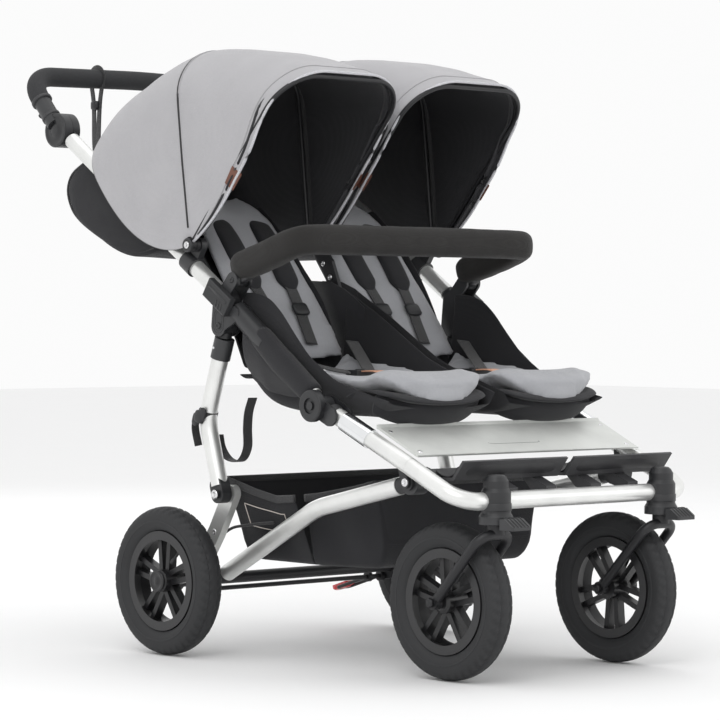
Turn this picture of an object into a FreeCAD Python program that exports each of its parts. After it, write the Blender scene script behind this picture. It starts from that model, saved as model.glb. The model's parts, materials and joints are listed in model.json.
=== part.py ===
import math
import os

import FreeCAD
import Part
import Sketcher
from FreeCAD import Placement, Rotation, Vector

# Side-by-side double stroller.  Millimetres, +Z up, -Y forward, +X the rider's left.
# Side-view points are (y, z) pairs in the frame the photo was measured in; every sub-part is
# then moved along Y by origin_shift, so that Y = 0 is the middle of the stroller's length.

DIMENSIONS = {
    "origin_shift": -21.18,
    "tyre_diameter": 250.0,
    "tyre_width": 47.0,
    "rim_diameter": 168.0,
    "rim_inner_diameter": 138.0,
    "rim_width": 34.0,
    "hub_diameter": 38.0,
    "hub_width": 44.0,
    "axle_radius": 6.0,
    "running_gap": 0.05,
    "spoke_width": 9.0,
    "spoke_depth": 16.0,
    "rear_track_half": 305.0,
    "rear_axle_y": 146.0,
    "front_track_half": 192.0,
    "front_axle_y": -420.0,
    "swivel_y": -520.0,
    "frame_tube_radius": 14.0,
    "leg_tube_radius": 14.5,
    "side_plane": 268.0,
    "knob_radius": 26.0,
    "hinge_pin_radius": 6.0,
    "fork_rod_radius": 8.0,
    "fork_half_gap": 34.0,
    "front_bar_y": -513.0,
    "front_bar_height": 288.0,
    "plate_half_width": 256.0,
    "plate_thickness": 3.0,
    "beam_radius": 10.0,
    "beam_height": 122.0,
    "brake_rod_radius": 4.0,
    "upper_tube_length": 486.0,
    "seat_tube_length": 176.0,
    "cross_tube_radius": 11.0,
    "bumper_radius": 25.0,
    "grip_radius": 17.5,
    "arm_radius": 15.5,
    "handle_disc_radius": 30.5,
    "bow_radius": 4.0,
    "hood_outer_plane": 296.0,
    "hood_inner_plane": 5.0,
    "hood_thickness": 3.0,
    "hood_corner_radius": 85.0,
    "seat_inner_plane": 18.0,
    "seat_outer_plane": 248.0,
    "backrest_length": 345.0,
    "backrest_thickness": 34.0,
    "pouch_half_width": 238.0,
    "button_radius": 6.0,
    "latch_length": 66.0,
    "latch_height": 34.0,
    "latch_depth": 12.0,
}

# Side-view pivots and bends, as (y, z).
FRONT_PIVOT = (-385.0, 313.0)
KNOB_PIVOT = (-203.0, 429.0)
FOLD_PIVOT = (36.0, 599.0)
LEG_PIVOT = (40.0, 556.0)
KNEE_PIVOT = (50.0, 274.0)
BUMPER_PIVOT = (6.0, 632.0)
HANDLE_PIVOT = (493.0, 900.0)
HOOD_PIVOT = (109.0, 691.0)
RECLINE_PIVOT = (42.0, 492.0)
CROSS_TUBE = (400.0, 829.0)

doc = FreeCAD.newDocument("stroller")
sheet = doc.addObject("Spreadsheet::Sheet", "Dims")
for row, (alias, value) in enumerate(DIMENSIONS.items(), start=1):
    sheet.set(f"A{row}", alias)
    sheet.set(f"B{row}", str(value))
    sheet.setAlias(f"B{row}", alias)
doc.recompute()

NODES = []


def dim(alias):
    return float(sheet.get(alias))


def bind(obj, prop, alias):
    """Ties a property to one cell, or to an expression of cells."""
    words = alias.replace("(", " ( ").replace(")", " ) ").split()
    obj.setExpression(prop, " ".join("Dims." + w if w in DIMENSIONS else w for w in words))


def node(obj, name, shifted=True):
    """Names a finished sub-part and moves it from the side-view frame to the part's own frame."""
    obj.Label = name
    if shifted:
        bind(obj, ".Placement.Base.y", "origin_shift")
    NODES.append(obj)
    return obj


def feature(name, shape):
    obj = doc.addObject("Part::Feature", name)
    obj.Shape = shape
    return node(obj, name)


def mirrored(name, source):
    """The right-hand twin of a left-hand sub-part."""
    obj = doc.addObject("Part::Mirroring", name)
    obj.Source = source
    obj.Normal = Vector(1, 0, 0)
    return node(obj, name, shifted=False)


def pair(name, shape):
    """One node that holds a left-hand shape and its mirror image as separate solids."""
    twin = shape.mirror(Vector(), Vector(1, 0, 0))
    return feature(name, Part.makeCompound(shape.Solids + twin.Solids))


# ---- shape helpers -------------------------------------------------------------------------


def at(x, side_point):
    return Vector(x, side_point[0], side_point[1])


def direction(start, end):
    return (end - start).normalize()


def along(start, end, distance):
    return start + direction(start, end) * distance


def rod(start, end, radius):
    return Part.makeCylinder(radius, (end - start).Length, start, end - start)


def disc(x_low, x_high, side_point, radius):
    return Part.makeCylinder(radius, x_high - x_low, at(x_low, side_point), Vector(1, 0, 0))


def slab(side_points, x_low, x_high):
    """A side-view polygon, x_high - x_low thick."""
    loop = [at(x_low, p) for p in side_points]
    face = Part.Face(Part.makePolygon(loop + loop[:1]))
    return face.extrude(Vector(x_high - x_low, 0, 0))


def strap_link(start, end, radius, x_low, x_high):
    """A flat link with round ends, seen from the side."""
    a, b = at(x_low, start), at(x_low, end)
    across = direction(a, b).cross(Vector(1, 0, 0)) * radius
    face = Part.Face(Part.makePolygon([a + across, b + across, b - across, a - across, a + across]))
    bar = face.extrude(Vector(x_high - x_low, 0, 0))
    ends = [disc(x_low, x_high, p, radius) for p in (start, end)]
    return bar.fuse(ends).removeSplitter()


def bent_wire(points, bend):
    """Straight runs joined by tangent arcs of one bend radius, or one radius per corner."""
    corners = len(points) - 2
    bends = bend if isinstance(bend, (list, tuple)) else [bend] * corners
    edges, last = [], points[0]
    for i in range(corners):
        before, corner, after = points[i], points[i + 1], points[i + 2]
        u, v = direction(corner, before), direction(corner, after)
        half = u.getAngle(v) / 2
        reach = bends[i] / math.tan(half)
        middle = corner + (u + v).normalize() * (bends[i] / math.sin(half) - bends[i])
        start, end = corner + u * reach, corner + v * reach
        if (start - last).Length > 1e-6:
            edges.append(Part.LineSegment(last, start).toShape())
        edges.append(Part.Arc(start, middle, end).toShape())
        last = end
    edges.append(Part.LineSegment(last, points[-1]).toShape())
    return Part.Wire(edges)


def bent_tube(points, radius, bend):
    path = bent_wire(points, bend)
    ring = Part.Wire(Part.makeCircle(radius, points[0], points[1] - points[0]))
    return Part.Solid(path.makePipeShell([ring], True, False).Shells[0])


def cut_tools(shape, tools):
    for tool in tools:
        shape = shape.cut(tool)
    return shape


def sketch_on(body, plane, edges, name):
    """A closed sketch on one of the body's own origin planes."""
    sketch = body.newObject("Sketcher::SketchObject", name)
    support = next(f for f in body.Origin.OriginFeatures if f.Role == plane)
    sketch.AttachmentSupport = [(support, "")]
    sketch.MapMode = "FlatFace"
    sketch.addGeometry(edges, False)
    return sketch


def polygon_edges(points):
    loop = [Vector(p[0], p[1], 0) for p in points]
    return [Part.LineSegment(a, b) for a, b in zip(loop, loop[1:] + loop[:1])]


# ---- wheels --------------------------------------------------------------------------------


def tyre_profile():
    """Section of a small air tyre: round crown, shoulders, side walls and flat beads."""
    outer, seat = dim("tyre_diameter") / 2, dim("rim_diameter") / 2 + 0.3
    half = dim("tyre_width") / 2
    bead = dim("rim_width") / 2 - 3
    shoulder = (half - 5, outer - 7)
    crown = Part.Arc(Vector(-shoulder[0], shoulder[1], 0), Vector(0, outer, 0),
                     Vector(shoulder[0], shoulder[1], 0))
    right = Part.Arc(Vector(shoulder[0], shoulder[1], 0), Vector(half, outer - 20, 0),
                     Vector(bead, seat, 0))
    base = Part.LineSegment(Vector(bead, seat, 0), Vector(-bead, seat, 0))
    left = Part.Arc(Vector(-bead, seat, 0), Vector(-half, outer - 20, 0),
                    Vector(-shoulder[0], shoulder[1], 0))
    return [crown, right, base, left]


def place_wheel(body, track, axle_y, side):
    """Turns the wheel's own +Z axle to point outward along the axle line."""
    body.Placement = Placement(Vector(), Rotation(Vector(0, 1, 0), 90 * side))
    bind(body, ".Placement.Base.x", f"{side} * {track}")
    bind(body, ".Placement.Base.y", f"{axle_y} + origin_shift")
    bind(body, ".Placement.Base.z", "tyre_diameter / 2")


def make_tyre(name, track, axle_y, side):
    body = doc.addObject("PartDesign::Body", name)
    edges = [e.copy() for e in tyre_profile()]
    for edge in edges:
        edge.rotate(Placement(Vector(), Rotation(Vector(0, 0, 1), -90)))
    sketch = sketch_on(body, "XZ_Plane", edges, name + "Section")
    ring = body.newObject("PartDesign::Revolution", name + "Ring")
    ring.Profile = sketch
    ring.ReferenceAxis = (sketch, ["V_Axis"])
    ring.Angle = 360
    place_wheel(body, track, axle_y, side)
    return node(body, name, shifted=False)


def make_rim(name, track, axle_y, side, through):
    """Rim band, five pairs of straight ribs and a hub, bored through or only from its inner side."""
    outer, inner = dim("rim_diameter") / 2, dim("rim_inner_diameter") / 2
    half, flange = dim("rim_width") / 2, 4.0
    hub, hub_half = dim("hub_diameter") / 2, dim("hub_width") / 2
    bore = dim("axle_radius") + dim("running_gap")
    body = doc.addObject("PartDesign::Body", name)
    band = [(inner, -half), (outer, -half), (outer, half), (inner, half), (inner + flange, 0)]
    sketch = sketch_on(body, "XZ_Plane", polygon_edges(band), name + "Band")
    ring = body.newObject("PartDesign::Revolution", name + "Ring")
    ring.Profile = sketch
    ring.ReferenceAxis = (sketch, ["V_Axis"])
    ring.Angle = 360
    width = dim("spoke_width")
    low, high = width * 0.35, width * 1.35
    ribs = polygon_edges([(hub - 4, low), (inner + 3, low + 5), (inner + 3, high + 5), (hub - 4, high)])
    ribs += polygon_edges([(hub - 4, -low), (inner + 3, -low - 5), (inner + 3, -high - 5), (hub - 4, -high)])
    rib_sketch = sketch_on(body, "XY_Plane", ribs, name + "Ribs")
    pad = body.newObject("PartDesign::Pad", name + "Pad")
    pad.Profile = rib_sketch
    pad.Midplane = True
    bind(pad, "Length", "spoke_depth")
    spokes = body.newObject("PartDesign::PolarPattern", name + "Spokes")
    spokes.Originals = [pad]
    spokes.Axis = (rib_sketch, ["N_Axis"])
    spokes.Angle = 360
    spokes.Occurrences = 5
    body.Tip = spokes
    hub_points = [(bore, -hub_half), (hub, -hub_half), (hub, hub_half - 4), (hub - 5, hub_half)]
    if through:
        hub_points += [(bore, hub_half)]
    else:
        hub_points += [(0, hub_half), (0, hub_half - 6), (bore, hub_half - 6)]
    hub_sketch = sketch_on(body, "XZ_Plane", polygon_edges(hub_points), name + "HubSection")
    barrel = body.newObject("PartDesign::Revolution", name + "Hub")
    barrel.Profile = hub_sketch
    barrel.ReferenceAxis = (hub_sketch, ["V_Axis"])
    barrel.Angle = 360
    body.Tip = barrel
    place_wheel(body, track, axle_y, side)
    return node(body, name, shifted=False)


def make_wheels():
    for side, word in ((1, "left"), (-1, "right")):
        make_tyre(f"tyre_rear_{word}", "rear_track_half", "rear_axle_y", side)
        make_rim(f"rim_rear_{word}", "rear_track_half", "rear_axle_y", side, through=False)
        make_tyre(f"tyre_front_{word}", "front_track_half", "front_axle_y", side)
        make_rim(f"rim_front_{word}", "front_track_half", "front_axle_y", side, through=True)


# ---- rear frame ----------------------------------------------------------------------------


def cylinder_object(name, radius_alias, length, start, toward):
    obj = doc.addObject("Part::Cylinder", name)
    bind(obj, "Radius", radius_alias)
    obj.Height = length
    obj.Placement = Placement(start, Rotation(Vector(0, 0, 1), toward))
    return obj


def make_rear_axle():
    """Cross beam, brake rod, end brackets and the stub axles that the rear wheels turn on."""
    axle_y, wheel_height = dim("rear_axle_y"), dim("tyre_diameter") / 2
    bracket_x = (206.0, 236.0)
    parts = [cylinder_object("AxleBeam", "beam_radius", 2 * bracket_x[1],
                             Vector(-bracket_x[1], axle_y, dim("beam_height")), Vector(1, 0, 0))]
    rod_end = 232.0
    parts.append(cylinder_object("BrakeRod", "brake_rod_radius", 2 * rod_end,
                                 Vector(-rod_end, axle_y + 16, 103.0), Vector(1, 0, 0)))
    stub_end = dim("rear_track_half") + dim("hub_width") / 2 - 6.5
    for side in (1, -1):
        parts.append(cylinder_object(f"StubAxle{side + 2}", "axle_radius", stub_end - bracket_x[0],
                                     Vector(side * bracket_x[0], axle_y, wheel_height),
                                     Vector(side, 0, 0)))
        bracket = slab([(168, 96), (176, 128), (156, 146), (130, 146), (118, 132), (140, 100)],
                       min(side * bracket_x[0], side * bracket_x[1]),
                       max(side * bracket_x[0], side * bracket_x[1]))
        obj = doc.addObject("Part::Feature", f"AxleBracket{side + 2}")
        obj.Shape = bracket
        parts.append(obj)
        collar = doc.addObject("Part::Feature", f"AxleCollar{side + 2}")
        low, high = sorted((side * 253.0, side * 280.0))
        collar.Shape = disc(low, high, (axle_y, wheel_height), 13.0)
        parts.append(collar)
    axle = doc.addObject("Part::MultiFuse", "rear_axle")
    axle.Shapes = parts
    axle.Refine = True
    return node(axle, "rear_axle")


LOWER_TUBE_REAR = Vector(196, 118, 134)
LOWER_TUBE_BEND = Vector(237, -155, 260)
LOWER_TUBE_PIVOT_X = 236.0


def make_lower_frame():
    """Lower side tubes, their front pivot ends, and the flattened lower legs."""
    pivot = at(LOWER_TUBE_PIVOT_X, FRONT_PIVOT)
    tube_end = along(pivot, LOWER_TUBE_BEND, 34.0)
    tube = bent_tube([LOWER_TUBE_REAR, LOWER_TUBE_BEND, tube_end], dim("leg_tube_radius"), 160.0)
    bracket = slab([(168, 96), (176, 128), (156, 146), (130, 146), (118, 132), (140, 100)], 206.0, 236.0)
    pair("lower_tube", tube.cut(bracket))
    pivot_disc = disc(222.0, 249.4, FRONT_PIVOT, 20.0)
    bore = disc(210.0, 252.0, FRONT_PIVOT, dim("hinge_pin_radius") - 1 + dim("running_gap"))
    neck = rod(tube_end, pivot, 13.4)
    pair("lower_tube_end", neck.fuse(pivot_disc).cut(bore).removeSplitter())
    leg = strap_link(KNEE_PIVOT, (88, 208), 15.0, 238.0, 252.0)
    leg = leg.fuse(strap_link((88, 208), (146, 125), 15.0, 238.0, 252.0)).removeSplitter()
    axle_hole = disc(236.0, 254.0, (146, 125), dim("axle_radius"))
    pair("lower_leg", leg.cut(axle_hole))


BASKET_SPLIT = -88.0
BASKET_OUTLINE = ((76, 296), (-40, 268), (-124, 276), (-250, 302), (-246, 190), (-224, 160), (82, 160),
                  (92, 205))
BASKET_INSIDE = ((68.9, 320), (-247.6, 320), (-243, 191.5), (-222.5, 163), (80.5, 163), (89, 205.5))


def basket_block(side_points, low_half, rise, taper):
    """Solid block whose sides lean out by `rise` per mm of height and in by `taper` towards the front."""
    right = []
    for y, z in side_points:
        half = low_half + rise * (z - 160) - taper * (BASKET_SPLIT - y)
        right.append(Vector(half, y, z))
    left = [Vector(-p.x, p.y, p.z) for p in right]
    return Part.makeLoft([Part.makePolygon(w + w[:1]) for w in (left, right)], True, True)


def make_basket():
    """Sagging tub under the seats: a rear half, and a front half that crumples in the fold."""
    wall, low_half, big = 3.0, 183.0, 600.0
    rear_zone = Part.makeBox(2 * big, big, big, Vector(-big, BASKET_SPLIT, 0))
    front_zone = Part.makeBox(2 * big, big, big, Vector(-big, BASKET_SPLIT - 0.5 - big, 0))
    for name, zone, rise, taper in (("basket_rear", rear_zone, 0.39, 0.0),
                                    ("basket_front", front_zone, 0.2, 0.11)):
        outside = basket_block(BASKET_OUTLINE, low_half, rise, taper)
        inside = basket_block(BASKET_INSIDE, low_half - wall, rise, taper)
        feature(name, outside.cut(inside).common(zone))


def make_brake():
    """Wire pedal that swings on the brake rod, its foot pad, and the cable to the other side."""
    x_mid, half, pivot = 187.0, 15.0, (162.0, 103.0)
    hole = disc(150.0, 230.0, pivot, dim("brake_rod_radius") + dim("running_gap"))
    wires = bent_tube([Vector(x_mid - half, 170, 101), Vector(x_mid - half, 246, 77),
                       Vector(x_mid + half, 246, 77), Vector(x_mid + half, 170, 101)], 3.0, 8.0)
    eyes = disc(x_mid - half - 4, x_mid - half + 4, pivot, 9.0)
    eyes = eyes.fuse(disc(x_mid + half - 4, x_mid + half + 4, pivot, 9.0))
    feature("brake_pedal", wires.fuse(eyes).cut(hole).removeSplitter())
    pad = slab([(228, 90.5), (262, 79.7), (260, 73), (226, 83.8)], x_mid - 11, x_mid + 11)
    feature("brake_pad", pad.cut(wires))
    cable = bent_tube([Vector(-230, 140, 146.6), Vector(-230, 122, 186), Vector(-230, 66, 216),
                       Vector(-222, 14, 224), Vector(-214, -22, 228)], 2.5, [38.0, 70.0, 60.0])
    feature("brake_cable", cable)


# ---- front frame ---------------------------------------------------------------------------


def side_axis(y):
    """Height of the front side tube's centre line."""
    slope = (KNOB_PIVOT[1] - 322.0) / (KNOB_PIVOT[0] + 437.0)
    return KNOB_PIVOT[1] + (y - KNOB_PIVOT[0]) * slope


def make_front_tubes():
    radius, x_side = dim("frame_tube_radius"), dim("side_plane")
    split_y = -400.0
    upper, lower = (-238.0, side_axis(-238.0)), (split_y, side_axis(split_y))
    tube = rod(at(x_side, upper), at(262.0, lower), radius)
    pair("front_side_tube", tube)
    bar_y, bar_z = dim("front_bar_y"), dim("front_bar_height")
    bar_start = (split_y - 0.6, side_axis(split_y - 0.6))
    left = [at(262.0, bar_start), at(262.0, (-440.0, side_axis(-440.0))), Vector(262.0, bar_y, bar_z)]
    path = left + [Vector(-p.x, p.y, p.z) for p in reversed(left)]
    feature("front_bar", bent_tube(path, radius, [60.0, 42.0, 42.0, 60.0]))
    sleeve_ends = [at(267.3, (-256.0, side_axis(-256.0))), at(265.3, (-314.0, side_axis(-314.0)))]
    sleeve = rod(sleeve_ends[0], sleeve_ends[1], radius + 2.2).cut(rod(at(x_side, upper), at(262.0, lower), radius))
    pair("chrome_sleeve", sleeve)


def make_front_hinge():
    """Forked end that carries the outer knob, and the lug for the lower tube's pivot."""
    pin = dim("hinge_pin_radius")
    neck_point = (-226.0, side_axis(-226.0))
    end_point = (-238.0, side_axis(-238.0))
    neck = rod(at(268.0, neck_point), at(268.0, end_point), 15.5)
    plates = [strap_link(KNOB_PIVOT, end_point, 16.0, 282.4, 287.0),
              strap_link(KNOB_PIVOT, end_point, 16.0, 249.0, 253.6)]
    knob = disc(287.0, 298.0, KNOB_PIVOT, dim("knob_radius"))
    knob = knob.makeFillet(3.0, [e for e in knob.Edges if e.Closed and e.BoundBox.XMin > 297])
    recess = disc(295.0, 299.0, KNOB_PIVOT, 13.0).cut(disc(294.0, 300.0, KNOB_PIVOT, 7.0))
    shaft = disc(249.0, 287.0, KNOB_PIVOT, pin)
    hinge = neck.fuse(plates + [shaft]).fuse(knob.cut(recess)).removeSplitter()
    side_tube = rod(at(268.0, end_point), at(262.0, (-400.0, side_axis(-400.0))), 14.0)
    hinge = hinge.cut(side_tube)
    lug_top = (FRONT_PIVOT[0] + 10, side_axis(FRONT_PIVOT[0] + 10) - 4)
    lug = strap_link(FRONT_PIVOT, lug_top, 13.0, 250.0, 255.0)
    bolt = disc(218.0, 256.0, FRONT_PIVOT, pin - 1).fuse(disc(255.0, 259.0, FRONT_PIVOT, 9.0))
    bolt = bolt.fuse(disc(217.4, 221.4, FRONT_PIVOT, 9.0))
    lug = lug.fuse(bolt).cut(side_tube).removeSplitter()
    pair("front_hinge", Part.makeCompound(hinge.Solids + lug.Solids))


def make_footplate():
    """Bent sheet footboard with a rolled top edge, as a padded section across the frame."""
    rise = dim("frame_tube_radius") / math.cos(math.atan2(107, 234)) + 3.2
    top, low = (-322.0, side_axis(-322.0) + rise), (-408.0, side_axis(-408.0) + rise)
    thick = dim("plate_thickness")
    section = [top, low, (low[0] - 4, low[1] - 0.5), (low[0] - 5, low[1] + thick - 1),
               (low[0] - 1, low[1] + thick), (top[0] - 2, top[1] + thick + 1), (top[0] + 2, top[1] + 9),
               (top[0] + 6, top[1] + 8), (top[0] + 5, top[1] + 2)]
    body = doc.addObject("PartDesign::Body", "footplate")
    sketch = sketch_on(body, "YZ_Plane", polygon_edges(section), "FootplateSection")
    pad = body.newObject("PartDesign::Pad", "FootplatePad")
    pad.Profile = sketch
    pad.Midplane = True
    bind(pad, "Length", "2 * plate_half_width")
    node(body, "footplate")


def make_foot_mats():
    """Two curled rubber foot rests on stand-off blocks above the front bar."""
    top = [(-418, 335), (-445, 323), (-474, 324), (-496, 351)]
    under = [(-500, 349), (-477, 319), (-444, 318), (-419, 330)]
    mat = slab(top + under, 8.0, 242.0)
    bar_y, bar_z = dim("front_bar_y"), dim("front_bar_height")
    bar = rod(Vector(0, bar_y, bar_z), Vector(300, bar_y, bar_z), dim("frame_tube_radius") + 0.3)
    block = slab([(-474, 318.6), (-450, 318.6), (-470, 300), (-505, 292), (-505, 306)], 40.0, 64.0)
    blocks = block.fuse(block.translated(Vector(88, 0, 0))).cut(bar)
    pair("foot_rest", mat.fuse(blocks).removeSplitter())


# ---- casters -------------------------------------------------------------------------------


def make_casters():
    """Left-hand caster: housing on the front bar, forked rod and swivel lock lever."""
    x_mid, y_mid = dim("front_track_half"), dim("swivel_y")
    gap, pin = dim("running_gap"), dim("axle_radius")
    profile = [(0, 252), (27, 252), (27, 264), (23.5, 270), (23.5, 302), (20, 308), (20, 319),
               (16, 326), (0, 326)]
    loop = [Vector(x_mid + r, y_mid, z) for r, z in profile]
    housing = Part.Face(Part.makePolygon(loop + loop[:1])).revolve(
        Vector(x_mid, y_mid, 0), Vector(0, 0, 1), 360)
    bar_y, bar_z = dim("front_bar_y"), dim("front_bar_height")
    bar = rod(Vector(100, bar_y, bar_z), Vector(300, bar_y, bar_z), dim("frame_tube_radius") + 0.05)
    bore = rod(Vector(x_mid, y_mid, 250), Vector(x_mid, y_mid, 272), pin + gap)
    pair("caster_housing", housing.cut(bar).cut(bore))

    half = dim("fork_half_gap")
    blade = bent_tube([Vector(x_mid - half, -420, 125), Vector(x_mid - half, -522, 236),
                       Vector(x_mid + half, -522, 236), Vector(x_mid + half, -420, 125)],
                      dim("fork_rod_radius"), 24.0)
    stem = rod(Vector(x_mid, y_mid, 236), Vector(x_mid, y_mid, 250.5), 14.0)
    stem = stem.fuse(rod(Vector(x_mid, y_mid, 240), Vector(x_mid, y_mid, 271), pin))
    axle = disc(x_mid - half - 10, x_mid + half + 10, (-420, 125), pin)
    bosses = disc(x_mid - half - 7, x_mid - half + 7, (-420, 125), 11.0)
    bosses = bosses.fuse(disc(x_mid + half - 7, x_mid + half + 7, (-420, 125), 11.0))
    fork = blade.fuse([stem, axle, bosses]).removeSplitter()
    left = feature("fork_left", fork)
    mirrored("fork_right", left)

    lever = slab([(-548.5, 262), (-558, 263), (-577, 250), (-577, 245), (-548.5, 245)], x_mid - 21, x_mid + 21)
    lever = lever.makeFillet(4.0, [e for e in lever.Edges if e.BoundBox.YMax < -570 and e.BoundBox.ZLength > 4])
    left = feature("swivel_lock_left", lever)
    mirrored("swivel_lock_right", left)


# ---- seat frame ----------------------------------------------------------------------------


def make_seat_tubes():
    x_side, radius = dim("side_plane"), "frame_tube_radius"
    start, end = at(x_side, KNOB_PIVOT), at(x_side, FOLD_PIVOT)
    begin = along(start, end, 25.0)
    tubes = []
    for side in (1, -1):
        base = Vector(side * begin.x, begin.y, begin.z)
        tube = cylinder_object(f"SeatTube{side + 2}", radius, dim("seat_tube_length"), base, end - start)
        bind(tube, "Height", "seat_tube_length")
        tubes.append(tube)
    group = doc.addObject("Part::Compound", "seat_tube")
    group.Links = tubes
    node(group, "seat_tube")


def make_seat_brackets():
    """Seat tube ends: the front knuckle, and the plates that hold the fold, leg and bumper pivots."""
    x_side, gap = dim("side_plane"), dim("running_gap")
    start, end = at(x_side, KNOB_PIVOT), at(x_side, FOLD_PIVOT)
    knuckle = disc(255.0, 281.0, KNOB_PIVOT, 15.0)
    knuckle = knuckle.fuse(rod(start, along(start, end, 25.0), 12.5))
    knuckle = knuckle.cut(disc(250.0, 286.0, KNOB_PIVOT, dim("hinge_pin_radius") + gap)).removeSplitter()
    tube_end = along(start, end, 25.0 + dim("seat_tube_length"))
    socket = rod(along(start, end, 168.0), along(start, end, 262.0), 17.5)
    socket = socket.cut(rod(along(start, end, 160.0), tube_end, dim("frame_tube_radius")))
    plates = []
    for low, high in ((251.0, 255.6), (280.4, 285.0)):
        plates.append(strap_link(FOLD_PIVOT, LEG_PIVOT, 18.0, low, high))
        plates.append(strap_link(FOLD_PIVOT, BUMPER_PIVOT, 13.0, low, high))
        plates.append(strap_link((3, 575), LEG_PIVOT, 14.0, low, high))
    pins = [disc(251.0, 285.0, p, r) for p, r in ((FOLD_PIVOT, 6.0), (LEG_PIVOT, 6.0), (BUMPER_PIVOT, 4.0))]
    room = [disc(255.7, 280.3, FOLD_PIVOT, 20.5), disc(255.7, 280.3, LEG_PIVOT, 18.0)]
    bracket = cut_tools(socket, room).fuse(plates + pins).removeSplitter()
    feature("seat_bracket", Part.makeCompound([s for h in (knuckle, bracket) for s in (
        h.Solids + h.mirror(Vector(), Vector(1, 0, 0)).Solids)]))


def make_seats():
    """Left seat: pan with side wings, and the reclining backrest."""
    inner, outer = dim("seat_inner_plane"), dim("seat_outer_plane")
    pan = slab([(-350, 452), (-344, 470), (-318, 478), (-150, 468), (-10, 474), (14, 470), (4, 440),
                (-36, 421), (-200, 421), (-300, 408), (-338, 428)], inner, outer)
    wing = [(-168, 466), (-150, 508), (-20, 556), (22, 566), (30, 500), (20, 470), (0, 450)]
    wings = [slab(wing, inner, inner + 9), slab(wing, outer - 9, outer)]
    left = feature("seat_pan_left", pan.fuse(wings).removeSplitter())
    mirrored("seat_pan_right", left)

    start = Vector(inner + 12, 46.0, 506.0)
    up = Vector(0, 120, 156).normalize()
    front = Vector(0, -156, 120).normalize() * dim("backrest_thickness")
    top = start + up * dim("backrest_length")
    width = Vector(outer - inner - 24, 0, 0)
    face = Part.Face(Part.makePolygon([start, top, top + front, start + front, start]))
    back = face.extrude(width)
    hinge = disc(inner + 12, outer - 12, RECLINE_PIVOT, 10.0)
    link = slab([(33, 488), (51, 488), (62, 520), (30, 520)], inner + 12, outer - 12)
    left = feature("backrest_left", back.fuse([hinge, link]).removeSplitter())
    mirrored("backrest_right", left)


def make_buckles():
    """Crotch buckle on each seat, with the round button that releases the harness."""
    for side, word in ((1, "left"), (-1, "right")):
        x_mid = side * 133.0
        body = doc.addObject("PartDesign::Body", f"buckle_{word}")
        half = (24.0, 17.0)
        edges = polygon_edges([(x_mid - half[0], -146 - half[1]), (x_mid + half[0], -146 - half[1]),
                               (x_mid + half[0] - 6, -146 + half[1]), (x_mid - half[0] + 6, -146 + half[1])])
        sketch = sketch_on(body, "XY_Plane", edges, f"Buckle{word}Outline")
        sketch.AttachmentOffset = Placement(Vector(0, 0, 470.0), Rotation())
        pad = body.newObject("PartDesign::Pad", f"Buckle{word}Pad")
        pad.Profile = sketch
        pad.Length = 14
        well = sketch_on(body, "XY_Plane", [Part.Circle(Vector(x_mid, -144, 0), Vector(0, 0, 1), 8.4)],
                         f"Buckle{word}Well")
        well.AttachmentOffset = Placement(Vector(0, 0, 484.0), Rotation())
        doc.recompute()
        pocket = body.newObject("PartDesign::Pocket", f"Buckle{word}Pocket")
        pocket.Profile = well
        pocket.Length = 8
        node(body, f"buckle_{word}")
        button = doc.addObject("Part::Cylinder", f"buckle_button_{word}")
        button.Radius = 8
        button.Height = 6
        button.Placement = Placement(Vector(x_mid, -144, 479.5), Rotation())
        bind(button, ".Placement.Base.y", "-144 + origin_shift")
        node(button, f"buckle_button_{word}", shifted=False)


def make_bumper():
    """Padded bar across both seats, with a tongue at each end between the bracket plates."""
    corner = Vector(262.0, -141, 698)
    pivot = at(268.0, BUMPER_PIVOT)
    start = along(pivot, corner, 19.0)
    path = [start, corner, Vector(-corner.x, corner.y, corner.z), Vector(-start.x, start.y, start.z)]
    bar = bent_tube(path, dim("bumper_radius"), 44.0)
    tongue = strap_link(BUMPER_PIVOT, (start.y - 4, start.z + 2), 11.0, 257.0, 279.0)
    tongue = tongue.cut(disc(250.0, 286.0, BUMPER_PIVOT, 4.0 + dim("running_gap")))
    twin = tongue.mirror(Vector(), Vector(1, 0, 0))
    feature("bumper_bar", bar.fuse([tongue, twin]).removeSplitter())


# ---- legs ----------------------------------------------------------------------------------


def make_legs():
    x_side, radius = dim("side_plane"), dim("leg_tube_radius")
    knee, top, foot = (88.0, 400.0), (43.0, 535.0), (54.0, 288.0)
    tube = bent_tube([at(x_side, (51.0, 512.0)), at(x_side, knee), at(x_side, foot)], radius, 90.0)
    pair("upper_leg", tube)
    collar = rod(at(x_side, top), at(x_side, (54.6, 501.0)), 17.0)
    collar = collar.cut(rod(at(x_side, (51.0, 512.0)), at(x_side, (62.0, 479.0)), radius + 0.1))
    boss = disc(256.2, 279.8, LEG_PIVOT, 15.5)
    neck = rod(at(x_side, LEG_PIVOT), at(x_side, top), 11.6)
    head = collar.fuse([boss, neck]).cut(disc(250.0, 286.0, LEG_PIVOT, 6.0 + dim("running_gap")))
    foot_lug = strap_link(KNEE_PIVOT, foot, 15.0, 258.0, 278.0)
    foot_lug = foot_lug.cut(rod(at(x_side, foot), at(x_side, knee), radius + 0.1))
    screw = disc(252.6, 283.0, KNEE_PIVOT, 6.0)
    fittings = head.removeSplitter().Solids + foot_lug.fuse(screw).removeSplitter().Solids
    pair("leg_fitting", Part.makeCompound(fittings))


# ---- handle frame --------------------------------------------------------------------------


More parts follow.
